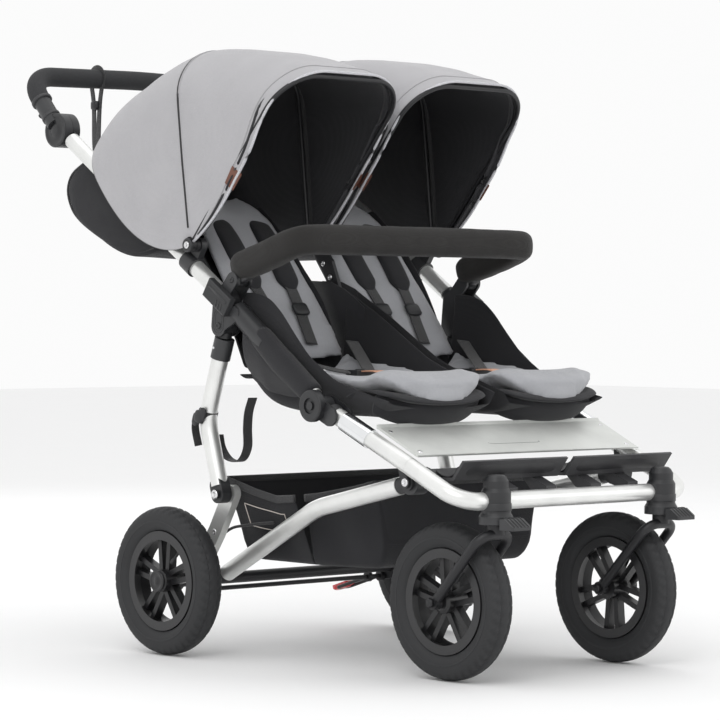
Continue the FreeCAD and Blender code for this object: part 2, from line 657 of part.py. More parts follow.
def make_upper_frame():
    x_side, gap = dim("side_plane"), dim("running_gap")
    start, end = at(x_side, FOLD_PIVOT), at(x_side, HANDLE_PIVOT)
    begin = along(start, end, 28.0)
    tubes = []
    for side in (1, -1):
        base = Vector(side * begin.x, begin.y, begin.z)
        tube = cylinder_object(f"UpperTube{side + 2}", "frame_tube_radius", 1.0, base, end - start)
        bind(tube, "Height", "upper_tube_length")
        tubes.append(tube)
    group = doc.addObject("Part::Compound", "upper_tube")
    group.Links = tubes
    node(group, "upper_tube")

    knuckle = disc(256.0, 280.0, FOLD_PIVOT, 17.0).fuse(rod(start, begin, 11.8))
    knuckle = knuckle.cut(disc(250.0, 286.0, FOLD_PIVOT, 6.0 + gap)).removeSplitter()
    tube_end = along(begin, end, dim("upper_tube_length"))
    inner_half = disc(252.0, 267.4, HANDLE_PIVOT, dim("handle_disc_radius"))
    neck = rod(tube_end, at(x_side, HANDLE_PIVOT), 14.5).common(
        Part.makeBox(15.4, 900, 1200, Vector(252.0, 0, 0)))
    pin = disc(252.0, 281.0, HANDLE_PIVOT, 6.0)
    joint = inner_half.fuse([neck, pin]).removeSplitter()
    pair("upper_tube_joint", Part.makeCompound(knuckle.Solids + joint.Solids))


def make_cross_member():
    """Cross tube behind the seats, and the thin centre plate that holds the hoods' inner pivots."""
    x_end = 253.0
    tube = rod(at(-x_end, CROSS_TUBE), at(x_end, CROSS_TUBE), dim("cross_tube_radius"))
    arm = strap_link(HOOD_PIVOT, CROSS_TUBE, 13.0, -3.5, 3.5)
    plate = slab([(44, 606), (62, 600), (92, 650), (118, 684), (100, 700), (70, 668)], -3.5, 3.5)
    pins = disc(-26.5, 26.5, HOOD_PIVOT, 4.0)
    main = tube.fuse([arm, plate, pins])
    upper = rod(at(268.0, FOLD_PIVOT), at(268.0, HANDLE_PIVOT), dim("frame_tube_radius"))
    upper_twin = upper.mirror(Vector(), Vector(1, 0, 0))
    feature("cross_member", main.cut(upper).cut(upper_twin).removeSplitter())


def make_hood_clevises():
    """Clamp on each upper tube with a lug and pin for the hood bows."""
    x_side = dim("side_plane")
    axis_start, axis_end = at(x_side, FOLD_PIVOT), at(x_side, HANDLE_PIVOT)
    unit = direction(axis_start, axis_end)
    middle = axis_start + unit * (at(x_side, HOOD_PIVOT) - axis_start).dot(unit)
    collar = rod(middle - unit * 14, middle + unit * 14, 18.0)
    lug = strap_link((middle.y, middle.z), HOOD_PIVOT, 13.0, 262.0, 273.5)
    pin = disc(262.0, 295.0, HOOD_PIVOT, 4.0)
    clevis = collar.fuse([lug, pin]).cut(rod(axis_start, axis_end, dim("frame_tube_radius")))
    pair("hood_clevis", clevis.removeSplitter())


def bow_point(x, angle, distance):
    """A point on a plane through the hood's pivot line, at an angle above level."""
    a = math.radians(angle)
    return Vector(x, HOOD_PIVOT[0] + distance * math.cos(a), HOOD_PIVOT[1] + distance * math.sin(a))


def hood_bow(angle, reach, x_inner, x_outer):
    radius = dim("bow_radius")
    path = [bow_point(x_outer, angle, 9), bow_point(x_outer, angle, reach),
            bow_point(x_inner, angle, reach), bow_point(x_inner, angle, 9)]
    bow = bent_tube(path, radius, dim("hood_corner_radius") - 10)
    hole = disc(-10.0, 310.0, HOOD_PIVOT, 4.0 + dim("running_gap"))
    eyes = [disc(x - radius - 0.2, x + radius + 0.2, HOOD_PIVOT, 11.0).cut(hole)
            for x in (x_inner, x_outer)]
    return bow.fuse(eyes)


# Reach of the hood's crown from its pivot line at each angle above level.
HOOD_CROWN = ((131.0, 374.0), (107.0, 346.0), (83.5, 340.0), (58.0, 340.0), (36.0, 378.0))


def hood_section(angle, reach):
    """Arch-shaped closed wire: outer line, inner line and two feet."""
    outer, inner = dim("hood_outer_plane"), dim("hood_inner_plane")
    thick, corner, foot = dim("hood_thickness"), dim("hood_corner_radius"), 24.0

    def arch(x_low, x_high, top, radius):
        bend = radius * (1 - math.sqrt(0.5))
        left = [bow_point(x_low, angle, foot), bow_point(x_low, angle, top - radius),
                bow_point(x_low + bend, angle, top - bend), bow_point(x_low + radius, angle, top)]
        right = [bow_point(x_high - radius, angle, top), bow_point(x_high - bend, angle, top - bend),
                 bow_point(x_high, angle, top - radius), bow_point(x_high, angle, foot)]
        return left, right

    left, right = arch(inner, outer, reach, corner)
    left_in, right_in = arch(inner + thick, outer - thick, reach - thick, corner - thick)
    edges = [
        Part.LineSegment(left[0], left[1]), Part.Arc(left[1], left[2], left[3]),
        Part.LineSegment(left[3], right[0]), Part.Arc(right[0], right[1], right[2]),
        Part.LineSegment(right[2], right[3]), Part.LineSegment(right[3], right_in[3]),
        Part.LineSegment(right_in[3], right_in[2]), Part.Arc(right_in[2], right_in[1], right_in[0]),
        Part.LineSegment(right_in[0], left_in[3]), Part.Arc(left_in[3], left_in[2], left_in[1]),
        Part.LineSegment(left_in[1], left_in[0]), Part.LineSegment(left_in[0], left[0]),
    ]
    return Part.Wire([e.toShape() for e in edges])


def make_hoods():
    left = feature("hood_bow_front_left", hood_bow(131.0, 364.0, 12.6, 287.7))
    mirrored("hood_bow_front_right", left)
    left = feature("hood_bow_mid_left", hood_bow(83.5, 330.0, 21.6, 278.4))
    mirrored("hood_bow_mid_right", left)
    sections = [hood_section(angle, reach) for angle, reach in HOOD_CROWN]
    cover = Part.makeLoft(sections, True, True)
    left = feature("hood_fabric_left", cover)
    mirrored("hood_fabric_right", left)


def make_pouch():
    """Storage pouch slung behind the seats, open on the side that faces the upper tubes."""
    half, wall = dim("pouch_half_width"), 4.0
    outline = [(246, 700), (262, 676), (336, 672), (440, 706), (530, 760), (541, 812), (480, 857), (458, 851)]
    inside = [(226, 724), (264, 681), (336, 677), (438, 711), (526, 763), (536, 810), (480, 852), (446, 885)]
    feature("pouch", slab(outline, -half, half).cut(slab(inside, -half + wall, half - wall)))


def make_handle():
    """Adjustable handle: pivot discs and arms, foam grip, release buttons and the wrist strap."""
    x_arm = 275.5
    pivot = at(x_arm, HANDLE_PIVOT)
    corner = Vector(x_arm, 590, 1002)
    arm_end = along(pivot, corner, 78.0)
    outer_half = disc(267.8, 283.6, HANDLE_PIVOT, dim("handle_disc_radius"))
    arm = rod(along(pivot, corner, 14.0), arm_end, dim("arm_radius"))
    keep_clear = disc(240.0, 267.7, HANDLE_PIVOT, dim("handle_disc_radius") + 3)
    arm = outer_half.fuse(arm).cut(keep_clear)
    arm = arm.cut(disc(260.0, 281.2, HANDLE_PIVOT, 6.0 + dim("running_gap")))
    normal = Vector(0, direction(pivot, corner).z, -direction(pivot, corner).y)
    seat = along(pivot, corner, 56.0)
    well = rod(seat + normal * 6, seat + normal * 30, dim("button_radius") + 0.4)
    pair("handle_arm", arm.cut(well).removeSplitter())
    button = rod(seat + normal * 10, seat + normal * 20, dim("button_radius"))
    left = feature("handle_button_left", button)
    mirrored("handle_button_right", left)
    path = [arm_end, corner, Vector(0, 603, 1009), Vector(-corner.x, corner.y, corner.z),
            Vector(-arm_end.x, arm_end.y, arm_end.z)]
    feature("handle_grip", bent_tube(path, dim("grip_radius"), [60.0, 900.0, 60.0]))
    strap_x, strap_y = -108.0, 598.5
    band = Part.makeBox(12, 3.0, 150, Vector(strap_x - 6, strap_y - 1.5, 838.0))
    feature("wrist_strap", band)


def make_fold_latches():
    """Ribbed grip on each fold bracket that slides up the tube to free the upper frame."""
    pivot, end = at(0, FOLD_PIVOT), at(0, HANDLE_PIVOT)
    unit = direction(pivot, end)
    normal = Vector(0, -unit.z, unit.y)
    low_corner = pivot - unit * 34 + normal * (6 - dim("latch_height") / 2)
    for side, word in ((1, "left"), (-1, "right")):
        box = doc.addObject("Part::Box", f"LatchBlock{word}")
        bind(box, "Length", "latch_depth")
        bind(box, "Width", "latch_length")
        bind(box, "Height", "latch_height")
        x_low = 285.8 if side > 0 else -285.8 - dim("latch_depth")
        turn = Rotation(Vector(1, 0, 0), math.degrees(math.atan2(unit.z, unit.y)))
        box.Placement = Placement(Vector(x_low, low_corner.y, low_corner.z), turn)
        round_off = doc.addObject("Part::Fillet", f"fold_latch_{word}")
        round_off.Base = box
        doc.recompute()
        outer_x = x_low + dim("latch_depth") if side > 0 else x_low
        edges = [i + 1 for i, e in enumerate(box.Shape.Edges)
                 if abs(e.BoundBox.XMin - outer_x) < 0.1 and e.BoundBox.XLength < 0.1]
        round_off.Edges = [(i, 3.0, 3.0) for i in edges]
        node(round_off, f"fold_latch_{word}")


def make_fold_strap():
    """Webbing loop from the seat's underside to the buckle on the right-hand leg."""
    width, thick = 18.0, 2.0
    path = bent_wire([Vector(-243, 0, 436), Vector(-243, 14, 395), Vector(-243, 10, 350),
                      Vector(-243, 40, 322), Vector(-243, 78, 338), Vector(-243, 88, 372)],
                     [40.0, 24.0, 26.0, 20.0])
    first = path.Edges[0]
    tangent = first.tangentAt(first.FirstParameter)
    across = Vector(1, 0, 0) * (width / 2)
    normal = tangent.cross(Vector(1, 0, 0)) * (thick / 2)
    base = Vector(-243, 0, 436)
    ring = Part.makePolygon([base + across + normal, base - across + normal, base - across - normal,
                             base + across - normal, base + across + normal])
    band = Part.Solid(path.makePipeShell([ring], True, False).Shells[0])
    feature("fold_strap", band)


def check_nodes():
    """Stops before anything is written if an object failed or a sub-part has no valid shape."""
    doc.recompute()
    for obj in doc.Objects:
        if "Invalid" in obj.State or "Error" in obj.State:
            raise RuntimeError(f"{obj.Label}: {obj.State}")
    for obj in NODES:
        if obj.Shape.isNull() or not obj.Shape.isValid() or not obj.Shape.Solids:
            raise RuntimeError(f"{obj.Label}: no valid solid")


def main():
    make_wheels()
    make_rear_axle()
    make_lower_frame()
    make_basket()
    make_brake()
    make_front_tubes()
    make_front_hinge()
    make_footplate()
    make_foot_mats()
    make_casters()
    make_seat_tubes()
    make_seat_brackets()
    make_seats()
    make_buckles()
    make_bumper()
    make_legs()
    make_upper_frame()
    make_cross_member()
    make_hood_clevises()
    make_hoods()
    make_pouch()
    make_handle()
    make_fold_latches()
    make_fold_strap()
    check_nodes()
    os.makedirs("parts", exist_ok=True)
    for obj in NODES:
        obj.Shape.exportStep(f"parts/{obj.Label}.step")
    print(len(NODES), "sub-parts")


main()
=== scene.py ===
import json
import math

import bmesh
import bpy
import numpy as np
from mathutils import Matrix, Vector, noise


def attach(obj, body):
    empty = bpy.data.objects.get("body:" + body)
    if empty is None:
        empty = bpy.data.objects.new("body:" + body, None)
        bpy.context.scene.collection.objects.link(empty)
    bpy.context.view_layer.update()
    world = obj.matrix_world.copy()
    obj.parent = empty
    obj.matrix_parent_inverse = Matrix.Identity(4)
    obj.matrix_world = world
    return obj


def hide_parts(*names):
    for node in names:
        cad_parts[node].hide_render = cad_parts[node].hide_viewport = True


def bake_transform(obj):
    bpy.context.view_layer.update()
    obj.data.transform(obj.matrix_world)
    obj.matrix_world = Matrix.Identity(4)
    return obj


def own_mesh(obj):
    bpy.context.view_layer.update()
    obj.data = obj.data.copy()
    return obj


# Side-by-side double stroller.  Lengths in the tables are millimetres in the side-view frame of
# part.py: x to the riders' left, y to the rear, z up.  point() turns them into the frame's metres.
ORIGIN_SHIFT = -21.18
FRONT_PIVOT = (-385.0, 313.0)
KNOB_PIVOT = (-203.0, 429.0)
FOLD_PIVOT = (36.0, 599.0)
LEG_PIVOT = (40.0, 556.0)
KNEE_PIVOT = (50.0, 274.0)
BUMPER_PIVOT = (6.0, 632.0)
HANDLE_PIVOT = (493.0, 900.0)
HOOD_PIVOT = (109.0, 691.0)
SIDE_PLANE = 268.0
SEAT_MIDDLE = 133.0
SIDES = (("left", 1), ("right", -1))
AXIS_X = Vector((1, 0, 0))
# Material and slot of a rivet with a black plastic head.
BLACK_BOLT = ("black_plastic", "black_plastic")

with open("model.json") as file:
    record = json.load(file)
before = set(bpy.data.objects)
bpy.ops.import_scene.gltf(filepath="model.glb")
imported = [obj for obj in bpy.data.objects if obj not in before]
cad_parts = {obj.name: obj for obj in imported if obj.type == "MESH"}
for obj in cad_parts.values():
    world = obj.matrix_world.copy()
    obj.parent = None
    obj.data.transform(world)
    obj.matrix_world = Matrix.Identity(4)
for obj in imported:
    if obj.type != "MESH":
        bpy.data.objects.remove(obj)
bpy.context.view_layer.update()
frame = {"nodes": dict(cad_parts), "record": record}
NODES = frame["nodes"]


def point(x, y, z):
    """A place in the frame's metres, from the side view's millimetres."""
    return Vector((x / 1000, (y + ORIGIN_SHIFT) / 1000, z / 1000))


def side_point(x, pair):
    return point(x, pair[0], pair[1])


def along_table(table, value):
    """The second column of a table, read at a value of its first column."""
    return float(np.interp(value, [row[0] for row in table], [row[1] for row in table]))


# ---- materials -----------------------------------------------------------------------------


def shader(name, colour, roughness, metallic=0.0):
    """A new material with its Principled shader and a texture coordinate in metres."""
    made = bpy.data.materials.new(name)
    made.use_nodes = True
    tree = made.node_tree
    surface = tree.nodes["Principled BSDF"]
    surface.inputs["Base Color"].default_value = (*colour, 1)
    surface.inputs["Roughness"].default_value = roughness
    surface.inputs["Metallic"].default_value = metallic
    place = tree.nodes.new("ShaderNodeTexCoord")
    return made, tree, surface, place.outputs["Object"]


def noise_node(tree, place, scale, detail=3.0):
    node = tree.nodes.new("ShaderNodeTexNoise")
    node.inputs["Scale"].default_value = scale
    node.inputs["Detail"].default_value = detail
    tree.links.new(place, node.inputs["Vector"])
    return node.outputs["Fac"]


def wave_node(tree, place, scale, axis, distortion=0.0):
    node = tree.nodes.new("ShaderNodeTexWave")
    node.bands_direction = axis
    node.inputs["Scale"].default_value = scale
    node.inputs["Distortion"].default_value = distortion
    tree.links.new(place, node.inputs["Vector"])
    return node.outputs["Fac"]


def ramp_node(tree, value, low, high, start=0.35, end=0.65):
    node = tree.nodes.new("ShaderNodeValToRGB")
    node.color_ramp.elements[0].position = start
    node.color_ramp.elements[0].color = (*low, 1)
    node.color_ramp.elements[1].position = end
    node.color_ramp.elements[1].color = (*high, 1)
    tree.links.new(value, node.inputs["Fac"])
    return node.outputs["Color"]


def math_node(tree, operation, a, b):
    node = tree.nodes.new("ShaderNodeMath")
    node.operation = operation
    for socket, value in zip(node.inputs, (a, b)):
        if isinstance(value, float):
            socket.default_value = value
        else:
            tree.links.new(value, socket)
    return node.outputs["Value"]


def bump_node(tree, surface, height, strength, depth):
    node = tree.nodes.new("ShaderNodeBump")
    node.inputs["Strength"].default_value = strength
    node.inputs["Distance"].default_value = depth
    tree.links.new(height, node.inputs["Height"])
    tree.links.new(node.outputs["Normal"], surface.inputs["Normal"])


def range_node(tree, value, low, high):
    node = tree.nodes.new("ShaderNodeMapRange")
    node.inputs["To Min"].default_value = low
    node.inputs["To Max"].default_value = high
    tree.links.new(value, node.inputs["Value"])
    return node.outputs["Result"]


def mix_colours(tree, fac, a, b, blend="MIX"):
    node = tree.nodes.new("ShaderNodeMix")
    node.data_type = "RGBA"
    node.blend_type = blend
    if isinstance(fac, float):
        node.inputs["Factor"].default_value = fac
    else:
        tree.links.new(fac, node.inputs["Factor"])
    tree.links.new(a, node.inputs[6])
    tree.links.new(b, node.inputs[7])
    return node.outputs[2]


def cloth(name, low, high, thread=900.0, sheen=0.25, roughness=0.9, wrinkle=0.35):
    """Plain-woven cloth: crossed threads, flecked yarn, soft creases and a slightly faded bloom."""
    made, tree, surface, place = shader(name, high, roughness)
    surface.inputs["Sheen Weight"].default_value = sheen
    surface.inputs["Sheen Roughness"].default_value = 0.45
    flecks = ramp_node(tree, noise_node(tree, place, 1100.0, 2.0), low, high)
    shade = [0.5 * (a + b) for a, b in zip(low, high)]
    bloom = ramp_node(tree, noise_node(tree, place, 14.0, 4.0), shade, high, 0.3, 0.7)
    colour = mix_colours(tree, 0.45, flecks, bloom)
    tree.links.new(colour, surface.inputs["Base Color"])
    warp, weft = wave_node(tree, place, thread, "X"), wave_node(tree, place, thread, "Z")
    weave = math_node(tree, "MAXIMUM", warp, weft)
    weave = math_node(tree, "MULTIPLY", weave, wave_node(tree, place, thread, "Y"))
    creases = math_node(tree, "MULTIPLY", noise_node(tree, place, 22.0, 5.0), wrinkle * 18)
    bump_node(tree, surface, math_node(tree, "ADD", weave, creases), 0.35, 0.0006)
    return made


def webbing(name, colour, rib=700.0):
    """Ribbed nylon tape, with painted shade between the ribs and a painted highlight on their crests."""
    made, tree, surface, place = shader(name, colour, 0.62)
    surface.inputs["Sheen Weight"].default_value = 0.2
    ribs = wave_node(tree, place, rib, "DIAGONAL")
    # Painted shade and highlight: the colour follows the rib relief, darker between the ribs and brighter on
    # their crests.
    light = [min(1.0, c * 1.9 + 0.006) for c in colour]
    tree.links.new(ramp_node(tree, ribs, colour, light, 0.2, 0.9), surface.inputs["Base Color"])
    bump_node(tree, surface, ribs, 0.5, 0.0005)
    return made


def moulded(name, colour, roughness=0.42, grain=1500.0, coat=0.0):
    """Moulded plastic or rubber with a fine grain, uneven gloss and rubbed edges."""
    made, tree, surface, place = shader(name, colour, roughness)
    surface.inputs["Coat Weight"].default_value = coat
    fine, broad = noise_node(tree, place, grain, 2.0), noise_node(tree, place, 30.0, 5.0)
    rubbed = [min(1.0, c * 1.6 + 0.02) for c in colour]
    edge = tree.nodes.new("ShaderNodeNewGeometry").outputs["Pointiness"]
    wear = ramp_node(tree, edge, colour, rubbed, 0.51, 0.6)
    dusty = ramp_node(tree, broad, colour, [min(1.0, c * 1.25 + 0.004) for c in colour])
    tree.links.new(mix_colours(tree, 0.5, wear, dusty), surface.inputs["Base Color"])
    tree.links.new(range_node(tree, broad, roughness - 0.08, roughness + 0.1), surface.inputs["Roughness"])
    bump_node(tree, surface, fine, 0.3, 0.0003)
    return made


def metal(name, colour, roughness, brushed=0.0, metallic=1.0):
    """Anodised or plated metal with faint handling marks."""
    made, tree, surface, place = shader(name, colour, roughness, metallic)
    broad = noise_node(tree, place, 18.0, 6.0)
    tree.links.new(range_node(tree, broad, roughness - 0.07, roughness + 0.09), surface.inputs["Roughness"])
    darker = [c * 0.88 for c in colour]
    tree.links.new(ramp_node(tree, broad, darker, colour, 0.25, 0.6), surface.inputs["Base Color"])
    fine = noise_node(tree, place, 1800.0 if brushed else 600.0, 2.0)
    bump_node(tree, surface, fine, 0.06 + brushed, 0.0002)
    return made


def foam(name, colour):
    """Closed-cell foam sleeve, with painted shade in its cell pits and a painted highlight on the cell rims.
    """
    made, tree, surface, place = shader(name, colour, 0.85)
    cells = tree.nodes.new("ShaderNodeTexVoronoi")
    cells.inputs["Scale"].default_value = 650.0
    tree.links.new(place, cells.inputs["Vector"])
    # Painted shade and highlight: the colour follows the cell relief, darker in the pits and brighter on the
    # rims.
    light = [c * 1.5 + 0.01 for c in colour]
    shades = ramp_node(tree, cells.outputs["Distance"], colour, light, 0.1, 0.8)
    tree.links.new(shades, surface.inputs["Base Color"])
    bump_node(tree, surface, cells.outputs["Distance"], 0.4, 0.0006)
    return made


def make_materials():
    return {
        "silver_tube": metal("satin_silver", (0.83, 0.835, 0.82), 0.34, 0.05, 0.75),
        "chrome_ring": metal("polished_chrome", (0.86, 0.87, 0.88), 0.1),
        "black_steel": metal("black_powder_coat", (0.014, 0.014, 0.016), 0.42, 0.1, 0.1),
        "black_plastic": moulded("black_moulding", (0.014, 0.0145, 0.016), 0.4),
        "rim_plastic": moulded("rim_moulding", (0.008, 0.008, 0.009), 0.34),
        "tyre_rubber": moulded("tyre_rubber", (0.017, 0.0175, 0.019), 0.68, 900.0),
        "footplate_grey": metal("footplate_satin", (0.70, 0.715, 0.69), 0.45, 0.05, 0.45),
        "black_rubber": moulded("foot_rest_rubber", (0.022, 0.022, 0.024), 0.5, 700.0),
        "grip_foam": foam("grip_foam", (0.016, 0.0165, 0.018)),
        "hood_grey": cloth("heather_grey", (0.34, 0.335, 0.35), (0.47, 0.465, 0.48)),
        "liner_grey": cloth("liner_grey", (0.29, 0.295, 0.315), (0.41, 0.415, 0.435), 700.0, 0.3),
        "black_fabric": cloth("black_cloth", (0.008, 0.008, 0.010), (0.018, 0.018, 0.021), 900.0, 0.12),
        "lining": cloth("hood_lining", (0.012, 0.012, 0.014), (0.026, 0.026, 0.03), 900.0, 0.2, 0.7),
        "bar_cover": cloth("bar_cover", (0.007, 0.0065, 0.006), (0.018, 0.0165, 0.0155), 420.0, 0.1),
        "black_webbing": webbing("black_webbing", (0.012, 0.012, 0.013)),
        "piping": webbing("grey_piping", (0.40, 0.40, 0.42), 900.0),
        "red_plastic": moulded("red_moulding", (0.55, 0.012, 0.02), 0.3, 1500.0, 0.3),
        "copper_tape": webbing("copper_tape", (0.58, 0.27, 0.16), 900.0),
        "leather_tab": moulded("brown_leather", (0.10, 0.035, 0.02), 0.55, 500.0),
        "bolt_steel": metal("bolt_steel", (0.75, 0.75, 0.76), 0.25),
        "badge": moulded("pale_badge", (0.50, 0.46, 0.42), 0.5, 600.0),
    }


M = make_materials()

# ---- mesh helpers --------------------------------------------------------------------------


def new_mesh(name, verts, faces, material, smooth=True):
    data = bpy.data.meshes.new(name)
    data.from_pydata([tuple(v) for v in verts], [], faces)
    data.validate()
    made = bpy.data.objects.new(name, data)
    bpy.context.scene.collection.objects.link(made)
    data.materials.append(M[material])
    tidy = bmesh.new()
    tidy.from_mesh(data)
    bmesh.ops.recalc_face_normals(tidy, faces=tidy.faces)
    tidy.to_mesh(data)
    tidy.free()
    if smooth:
        data.shade_smooth()
    return made


def grid_faces(rows, columns, loop=False, close=False):
    """Quads of a rows x columns point grid; loop joins the last column to the first."""
    faces = []
    for i in range(rows if close else rows - 1):
        for j in range(columns if loop else columns - 1):
            a, b = i * columns + j, i * columns + (j + 1) % columns
            c, d = ((i + 1) % rows) * columns + (j + 1) % columns, ((i + 1) % rows) * columns + j
            faces.append((a, b, c, d))
    return faces


def grid_mesh(name, rows, material):
    """A mesh over rows of points that all have the same length."""
    verts = [p for row in rows for p in row]
    return new_mesh(name, verts, grid_faces(len(rows), len(rows[0])), material)


def caps(rows, columns):
    """The faces that close the first and the last row of a looped grid."""
    return [tuple(range(columns))[::-1], tuple((rows - 1) * columns + j for j in range(columns))]


def curve_through(points, count):
    """count points evenly spaced along a smooth curve through the given ones."""
    pts = np.array([tuple(p) for p in points], float)
    ext = np.vstack([2 * pts[0] - pts[1], pts, 2 * pts[-1] - pts[-2]])
    fine = []
    for i in range(1, len(ext) - 2):
        p0, p1, p2, p3 = ext[i - 1:i + 3]
        for t in np.linspace(0, 1, 24, endpoint=False):
            fine.append(0.5 * (2 * p1 + (p2 - p0) * t + (2 * p0 - 5 * p1 + 4 * p2 - p3) * t * t
                               + (3 * p1 - p0 - 3 * p2 + p3) * t ** 3))
    fine = np.array(fine + [pts[-1]])
    run = np.concatenate([[0], np.cumsum(np.linalg.norm(np.diff(fine, axis=0), axis=1))])
    at = np.linspace(0, run[-1], count)
    return [Vector([float(np.interp(s, run, fine[:, k])) for k in range(fine.shape[1])]) for s in at]


def sweep(name, path, section, material, up=Vector((0, 0, 1)), closed=False, smooth=True):
    """Sweeps a closed outline of (across, up) metres, or a function of run 0..1, along a path."""
    count, verts = len(path), []
    for i, p in enumerate(path):
        before = path[i - 1] if closed or i else p
        after = path[(i + 1) % count] if closed or i < count - 1 else p
        forward = (after - before).normalized()
        across = forward.cross(up).normalized()
        over = across.cross(forward).normalized()
        outline = section(i / max(1, count - 1)) if callable(section) else section
        verts += [p + across * a + over * b for a, b in outline]
    columns = len(verts) // count
    faces = grid_faces(count, columns, loop=True, close=closed)
    if not closed:
        faces += caps(count, columns)
    return new_mesh(name, verts, faces, material, smooth)


def round_section(radius_mm, steps=16, flat=1.0):
    r = radius_mm / 1000
    turns = np.linspace(0, 2 * math.pi, steps, endpoint=False)
    return [(r * math.cos(a), r * flat * math.sin(a)) for a in turns]


def soft_box(width_mm, height_mm, corner=3.0, steps=28):
    """Superellipse outline; a higher corner number is squarer."""
    out = []
    for a in np.linspace(0, 2 * math.pi, steps, endpoint=False):
        c, s = math.cos(a), math.sin(a)
        out.append((width_mm / 2000 * math.copysign(abs(c) ** (2 / corner), c),
                    height_mm / 2000 * math.copysign(abs(s) ** (2 / corner), s)))
    return out


def strap(name, points, width_mm, thick_mm, material, up, count=40):
    """Flat webbing along a smooth path; up is the direction its face looks."""
    return sweep(name, curve_through(points, count), soft_box(width_mm, thick_mm, 6.0, 12), material, up)


def lathe(name, profile, middle, axis, material, steps=40):
    """Turned piece: profile of (radius, height) in mm along the axis from the middle point."""
    verts = []
    turn = Vector((0, 0, 1)).rotation_difference(Vector(axis)).to_matrix()
    for r, h in profile:
        for a in np.linspace(0, 2 * math.pi, steps, endpoint=False):
            verts.append(middle + turn @ Vector((r * math.cos(a), r * math.sin(a), h)) / 1000)
    faces = grid_faces(len(profile), steps, loop=True) + caps(len(profile), steps)
    return new_mesh(name, verts, faces, material)


def join(name, pieces):
    """One object out of several that share a body."""
    bpy.ops.object.select_all(action="DESELECT")
    for piece in pieces:
        piece.select_set(True)
    bpy.context.view_layer.objects.active = pieces[0]
    bpy.ops.object.join()
    pieces[0].name = name
    return pieces[0]


def subdivide(obj, levels=1):
    step = obj.modifiers.new("Subdivision", "SUBSURF")
    step.levels = step.render_levels = levels
    return obj


def thicken(obj, thickness_mm, inner=None, offset=-1.0):
    """Gives a sheet its thickness; inner is the material of its far face."""
    step = obj.modifiers.new("Thickness", "SOLIDIFY")
    step.thickness = thickness_mm / 1000
    step.offset = offset
    if inner:
        obj.data.materials.append(M[inner])
        step.material_offset = 1
        step.material_offset_rim = 1
    return obj


def apply_modifiers(obj):
    graph = bpy.context.evaluated_depsgraph_get()
    mesh = bpy.data.meshes.new_from_object(obj.evaluated_get(graph))
    obj.modifiers.clear()
    obj.data = mesh
    return obj


def to_side(obj, side):
    """Reflects a piece that was made on the left when it belongs on the right."""
    if side < 0:
        obj.data.transform(Matrix.Diagonal((-1, 1, 1, 1)))
        obj.data.flip_normals()
    return obj


def mirror_copy(obj, name):
    """The same mesh and modifiers, reflected to the other side."""
    data = obj.data.copy()
    data.transform(Matrix.Diagonal((-1, 1, 1, 1)))
    data.flip_normals()
    made = bpy.data.objects.new(name, data)
    bpy.context.scene.collection.objects.link(made)
    for old in obj.modifiers:
        new = made.modifiers.new(old.name, old.type)
        for prop in old.bl_rna.properties:
            if not prop.is_readonly:
                setattr(new, prop.identifier, getattr(old, prop.identifier))
    return made


def finish_piece(obj, body, replaced=()):
    """Parents a piece to the empty of the body it rides on, and hides the CAD nodes that it stands for."""
    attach(obj, body)
    if replaced:
        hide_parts(*replaced)
    return obj


def turned(name, profile, middle, axis, material, body, steps=40):
    """A finished round piece."""
    return finish_piece(lathe(name, profile, middle, axis, material, steps), body)


def swept(name, path, section, material, body, up=Vector((0, 0, 1)), closed=False):
    """A finished sweep."""
    return finish_piece(sweep(name, path, section, material, up, closed), body)


def puff(obj, cap_mm=3.0):
    """Inflates a closed pad by cloth simulation; no point moves further than cap_mm."""
    remesh = obj.modifiers.new("Remesh", "REMESH")
    remesh.mode = "VOXEL"
    remesh.voxel_size = 0.005
    apply_modifiers(obj)
    start = np.array([v.co for v in obj.data.vertices], float)
    fabric = obj.modifiers.new("Cloth", "CLOTH")
    fabric.settings.use_pressure = True
    fabric.settings.uniform_pressure_force = 4.0
    fabric.settings.effector_weights.gravity = 0
    fabric.settings.quality = 4
    fabric.collision_settings.use_collision = False
    scene = bpy.context.scene
    for step in range(1, 21):
        scene.frame_set(step)
    apply_modifiers(obj)
    end = np.array([v.co for v in obj.data.vertices], float)
    move = end - start
    length = np.linalg.norm(move, axis=1, keepdims=True) + 1e-12
    end = start + move * np.minimum(1.0, cap_mm / 1000 / length)
    obj.data.vertices.foreach_set("co", end.astype(np.float32).ravel())
    obj.data.update()
    obj.data.shade_smooth()
    scene.frame_set(1)
    return subdivide(obj)


def rivet(name, x, pair, side, body, radius_mm, height_mm, material="bolt_steel", slot="chrome_ring"):
    """Domed rivet head or bolt on a side face."""
    r, h = radius_mm, height_mm
    profile = [(r, 0), (r, h * 0.4), (r * 0.8, h * 0.85), (r * 0.45, h), (r * 0.42, h * 0.6),
               (r * 0.1, h * 0.6)]
    made = lathe(name, profile, side_point(x * side, pair), (side, 0, 0), material, 24)
    return finish_piece(made, body)


# ---- camera, light and floor ---------------------------------------------------------------


def make_camera():
    """The photograph's view: azimuth -42.7 degrees, nearly level, 148 mm lens."""
    azimuth, elevation, roll = (math.radians(a) for a in (-42.717, 0.935, 0.275))
    back = Vector((math.sin(azimuth) * math.cos(elevation), -math.cos(azimuth) * math.cos(elevation),
                   math.sin(elevation)))
    right = Vector((math.cos(azimuth), math.sin(azimuth), 0))
    up = back.cross(right)
    turned_right = right * math.cos(roll) + up * math.sin(roll)
    turned_up = up * math.cos(roll) - right * math.sin(roll)
    camera = bpy.data.objects.new("Camera", bpy.data.cameras.new("Camera"))
    camera.data.lens = 148.4
    camera.data.sensor_width = 36.0
    axes = Matrix((turned_right, turned_up, back)).transposed()
    camera.matrix_world = axes.to_4x4()
    target, distance = Vector((-0.00013, -0.02118, 0.4973)), 5.1094
    camera.location = target + back * distance
    bpy.context.scene.collection.objects.link(camera)
    bpy.context.scene.camera = camera


